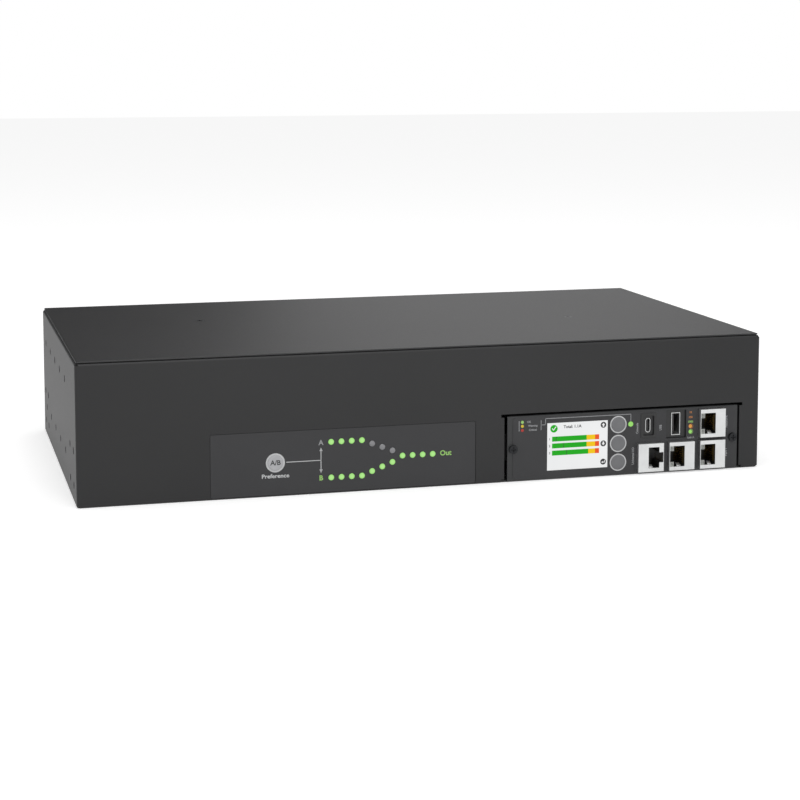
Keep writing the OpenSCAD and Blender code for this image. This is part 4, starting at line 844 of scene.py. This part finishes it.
                symbols.arrowhead((at[0], z + way * 1.2 * MM), way * math.pi / 2, 1.3 * MM, 2.2 * MM)
                symbols.line([(at[0], z), (at[0], z - way * 0.8 * MM)], 0.9 * MM)
        marks.finish("display_button_marks", DISPLAY_BLACK, Slot.DISPLAY)
        symbols.finish("display_button_symbols", DISPLAY_WHITE, Slot.DISPLAY)

    def captions(self) -> None:
        """Prints the sockets' names and the speeds above the link lamps."""
        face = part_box("module_overlay")[0].y
        amber, green = middle("link_light_amber"), middle("link_light_green")
        for text, rise, ink in (("10", 8.8, ORANGE_INK), ("100", 5.7, ORANGE_INK), ("1000", 2.8, GREEN_INK)):
            Print(face).word(text, (amber.x - 0.3 * MM, amber.z + rise * MM), self.speed_letter).finish(
                f"speed_{text}", ink)
        for name, lamp, ink in (("amber", amber, ORANGE_INK), ("green", green, GREEN_INK)):
            Print(face).ring((lamp.x, lamp.z), 1.3 * MM, 1.5 * MM, 24).finish(f"link_ring_{name}", ink)
        words = Print(face)
        words.word("Link A", (amber.x, green.z - 3.8 * MM), self.speed_letter)
        for text, x, z in (("Console", 132.9, 29.5), ("USB", 148.6, 29.2), ("Universal I/O", 130.2, 12.0),
                           ("Network", 193.6, 30.8), ("Port 1", 193.6, 11.0)):
            words.word(text, (x * MM, z * MM), self.caption_letter, math.pi / 2)
        words.finish("socket_words", DIM_INK)

    def sockets(self) -> None:
        """Adds the jacks' lamp grilles and the springs of their shields."""
        lamps, shields = islands("jack_lamps"), islands("jack_shields")
        grilles = Print(lamps[0][0].y)
        for low, high in lamps:
            w, h = high.x - low.x, high.z - low.z
            for column in range(2):
                for row in range(3):
                    x, z = low.x + w * (0.29 + 0.42 * column), low.z + h * (0.2 + 0.3 * row)
                    grilles.bar(x - w * 0.15, z - h * 0.1, x + w * 0.15, z + h * 0.1)
        grilles.finish("jack_lamp_grilles", BLACK_INK, Slot.PLASTIC)
        first = shields[0]
        base = min(low.z for low, high in lamps if low.z > first[0].z) - first[0].z
        springs = bmesh.new()
        for number, (low, high) in enumerate(shields):
            # The first jack's mouth lies 2.2 mm further to the right
            x = low.x + (6.6 if number else 8.8) * MM
            place = Matrix.Translation((x, low.y + self.spring_depth, low.z + base + 0.9 * MM))
            tilt = Matrix.Rotation(math.radians(self.spring_tilt), 4, "X")
            bmesh.ops.create_cube(springs, size=1.0, matrix=place @ tilt @ Matrix.Diagonal((*self.spring, 1)))
        bmesh.ops.bevel(springs, geom=springs.edges, offset=0.06 * MM, segments=2, profile=0.5,
                        affect="EDGES", material=-1)
        add_piece(springs, "jack_shield_springs", TINNED_SHEET)


@dataclass
class PowerStage:
    """Main board with the relays that change over, its supply and the wiring to the rear."""

    def dress(self) -> None:
        """Gives the inner parts their finishes."""
        dress(BOARD_FLAT, "main_board")
        dress(RELAY_CASE, "relays")
        dress(LAMINATIONS, "supply_cores")
        dress(MAGNET_WIRE, "supply_coils")
        dress(CAN_SLEEVE, "capacitors")
        dress(DIPPED_CORE, "current_sensors")
        dress(RAW_ALUMINIUM, "heat_sinks")
        dress(TERMINAL_CASE, "terminal_blocks")
        dress(LEAD_BROWN, "input_leads")
        dress(LEAD_BLUE, "output_leads")


@dataclass
class RearPanel:
    """Inlets, breakers and outlets on the rear, with the letters of the two inputs.

    Attributes:
        letter: Height of the letters.
        letter_out: Distance of the letters from the inlets' flanges.
        letter_rise: Height of each letter above or below the middle between the inlets.
    """

    letter: float = 3.2 * MM
    letter_out: float = 4.0 * MM
    letter_rise: float = 20.0 * MM

    def dress(self) -> None:
        """Gives the rear fittings their finishes."""
        dress(BLACK_NYLON, "inlets", "breakers", "outlet_backs")
        dress(OUTLET_NYLON, "outlet_frames", "outlet_cores")
        dress(TURNED_BRASS, "inlet_pins")
        dress(ROLLED_COPPER, "outlet_bus_strips")
        dress(GLOSSY_ROCKER, "breaker_rocker_1", "breaker_rocker_2")

    def build(self) -> None:
        """Prints the letters of the two inputs."""
        self.dress()
        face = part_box("rear_panel")[1].y
        low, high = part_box("inlets")
        level = (low.z + high.z) / 2
        letters = Print(face, rear=True)
        for text, way in (("A", 1), ("B", -1)):
            letters.word(text, (low.x - self.letter_out, level + way * self.letter_rise), self.letter)
        letters.finish("input_letters", PALE_INK)


@dataclass
class Studio:
    """Pale floor, soft lamps and the camera.

    Attributes:
        sky: How bright the surroundings are as a light.
        floor_tone: The floor's own colour, sRGB hex.
        floor_lift: Light that the floor adds where it is seen, so that it reads as white.
        camera_at: Camera's place from the middle of the front's lower edge, mm.
        yaw: Camera's turn to the right, radians.
        pitch: Camera's tilt, radians.
        lens: Focal length, mm on a 36 mm sensor.
        rise: Upward shift of the lens.
        flag_back: Y of the black cards behind the unit.
        flag_rise: Height of the black cards.
        flags: Name, left edge and right edge of each black card.
        lamps: Name, place, target, size and power of each soft lamp.
    """

    sky: float = 0.55
    floor_tone: str = "#e4e4e4"
    floor_lift: float = 0.5
    camera_at: tuple[float, float, float] = (-313.028, -1092.524, 268.068)
    yaw: float = 0.2610
    pitch: float = -0.1019
    lens: float = 85.19
    rise: float = -0.2
    flag_back: float = 2.0
    flag_rise: float = 2.2
    flags: tuple[tuple, ...] = (("left_flag", -1.3, 0.3), ("right_flag", 1.3, 2.2))
    lamps: tuple[tuple, ...] = (
        ("overhead_softbox", (-0.1, -0.1, 1.8), (0.0, 0.0, 0.0), 1.6, 8.0),
        ("front_softbox", (-0.1, -1.3, 1.5), (0.0, -0.1, 0.05), 0.5, 6.0),
        ("low_fill", (0.0, -0.42, 0.02), (0.0, -0.1, 0.0), 0.35, 0.15),
    )

    def seen(self, tree: bpy.types.NodeTree) -> bpy.types.NodeSocket:
        """Returns 1 for rays of the camera, of reflections and through clear things."""
        path = add_node(tree, "LightPath")
        both = add_node(tree, "Math", {0: path.outputs["Is Camera Ray"], 1: path.outputs["Is Glossy Ray"]},
                        operation="MAXIMUM").outputs[0]
        return add_node(tree, "Math", {0: both, 1: path.outputs["Is Transmission Ray"]},
                        operation="MAXIMUM").outputs[0]

    def world(self) -> None:
        """Makes white surroundings that light the unit at a lower level."""
        world = bpy.data.worlds.new("white_room")
        bpy.context.scene.world = world
        world.use_nodes = True
        tree = world.node_tree
        tree.nodes.clear()
        level = add_node(tree, "MapRange", {"Value": self.seen(tree), "To Min": self.sky, "To Max": 1.0})
        sky = add_node(tree, "Background", {"Color": (1.0, 1.0, 1.0, 1.0), "Strength": level.outputs[0]})
        add_node(tree, "OutputWorld", {"Surface": sky.outputs[0]})

    def floor(self) -> None:
        """Lays the floor, which keeps the unit's shadow."""
        shape = bmesh.new()
        bmesh.ops.create_grid(shape, x_segments=2, y_segments=2, size=6.0)
        mesh = bpy.data.meshes.new("floor")
        shape.to_mesh(mesh)
        shape.free()
        paper = bpy.data.materials.new("white_paper_floor")
        paper.use_nodes = True
        tree = paper.node_tree
        tree.nodes.clear()
        matt = add_node(tree, "BsdfDiffuse", {"Color": linear(self.floor_tone)})
        lift = add_node(tree, "Math", {0: self.seen(tree), 1: self.floor_lift}, operation="MULTIPLY")
        glow = add_node(tree, "Emission", {"Color": (1.0, 1.0, 1.0, 1.0), "Strength": lift.outputs[0]})
        both = add_node(tree, "AddShader", {0: matt.outputs[0], 1: glow.outputs[0]})
        add_node(tree, "OutputMaterial", {"Surface": both.outputs[0]})
        mesh.materials.append(paper)
        floor = bpy.data.objects.new("floor", mesh)
        bpy.context.scene.collection.objects.link(floor)

    def lamp(self, name: str, place: tuple[float, float, float], target: tuple[float, float, float],
             size: float, power: float) -> None:
        """Adds a square soft lamp that looks at a target."""
        light = bpy.data.lights.new(name, "AREA")
        light.shape, light.size, light.energy = "SQUARE", size, power
        holder = bpy.data.objects.new(name, light)
        holder.location = place
        holder.rotation_euler = (Vector(target) - Vector(place)).to_track_quat("-Z", "Y").to_euler()
        bpy.context.scene.collection.objects.link(holder)

    def flag(self, name: str, left: float, right: float) -> None:
        """Stands a black card behind the unit that only reflections meet, to shade part of the sheen."""
        shape = bmesh.new()
        add_box(shape, (left, self.flag_back, 0.0), (right, self.flag_back + 0.01, self.flag_rise))
        mesh = bpy.data.meshes.new(name)
        shape.to_mesh(mesh)
        shape.free()
        mesh.materials.append(STUDIO_CARD.material())
        card = bpy.data.objects.new(name, mesh)
        card.visible_camera = card.visible_diffuse = card.visible_shadow = False
        bpy.context.scene.collection.objects.link(card)

    def camera(self) -> None:
        """Sets up the camera from its place in front of the unit."""
        lens = bpy.data.cameras.new("camera")
        lens.lens, lens.sensor_width, lens.shift_y = self.lens, 36.0, self.rise
        lens.clip_start, lens.clip_end = 0.05, 50.0
        holder = bpy.data.objects.new("camera", lens)
        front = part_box("chassis_tray")[0].y
        x, y, z = (v * MM for v in self.camera_at)
        holder.location = (x, front + y, z)
        holder.rotation_euler = (math.pi / 2 + self.pitch, 0.0, -self.yaw)
        bpy.context.scene.collection.objects.link(holder)
        bpy.context.scene.camera = holder

    def build(self) -> None:
        """Builds the room, its lamps and the camera."""
        self.world()
        self.floor()
        for settings in self.lamps:
            self.lamp(*settings)
        for settings in self.flags:
            self.flag(*settings)
        self.camera()


def main() -> None:
    """Builds the unit's looks and its studio."""
    logging.basicConfig(level=logging.INFO, format="%(message)s")
    bpy.context.scene.view_settings.view_transform = "Standard"
    Studio().build()
    Enclosure().dress()
    SourceIndicator().build()
    ManagementModule().build()
    PowerStage().dress()
    RearPanel().build()


if __name__ == "__main__":
    main()
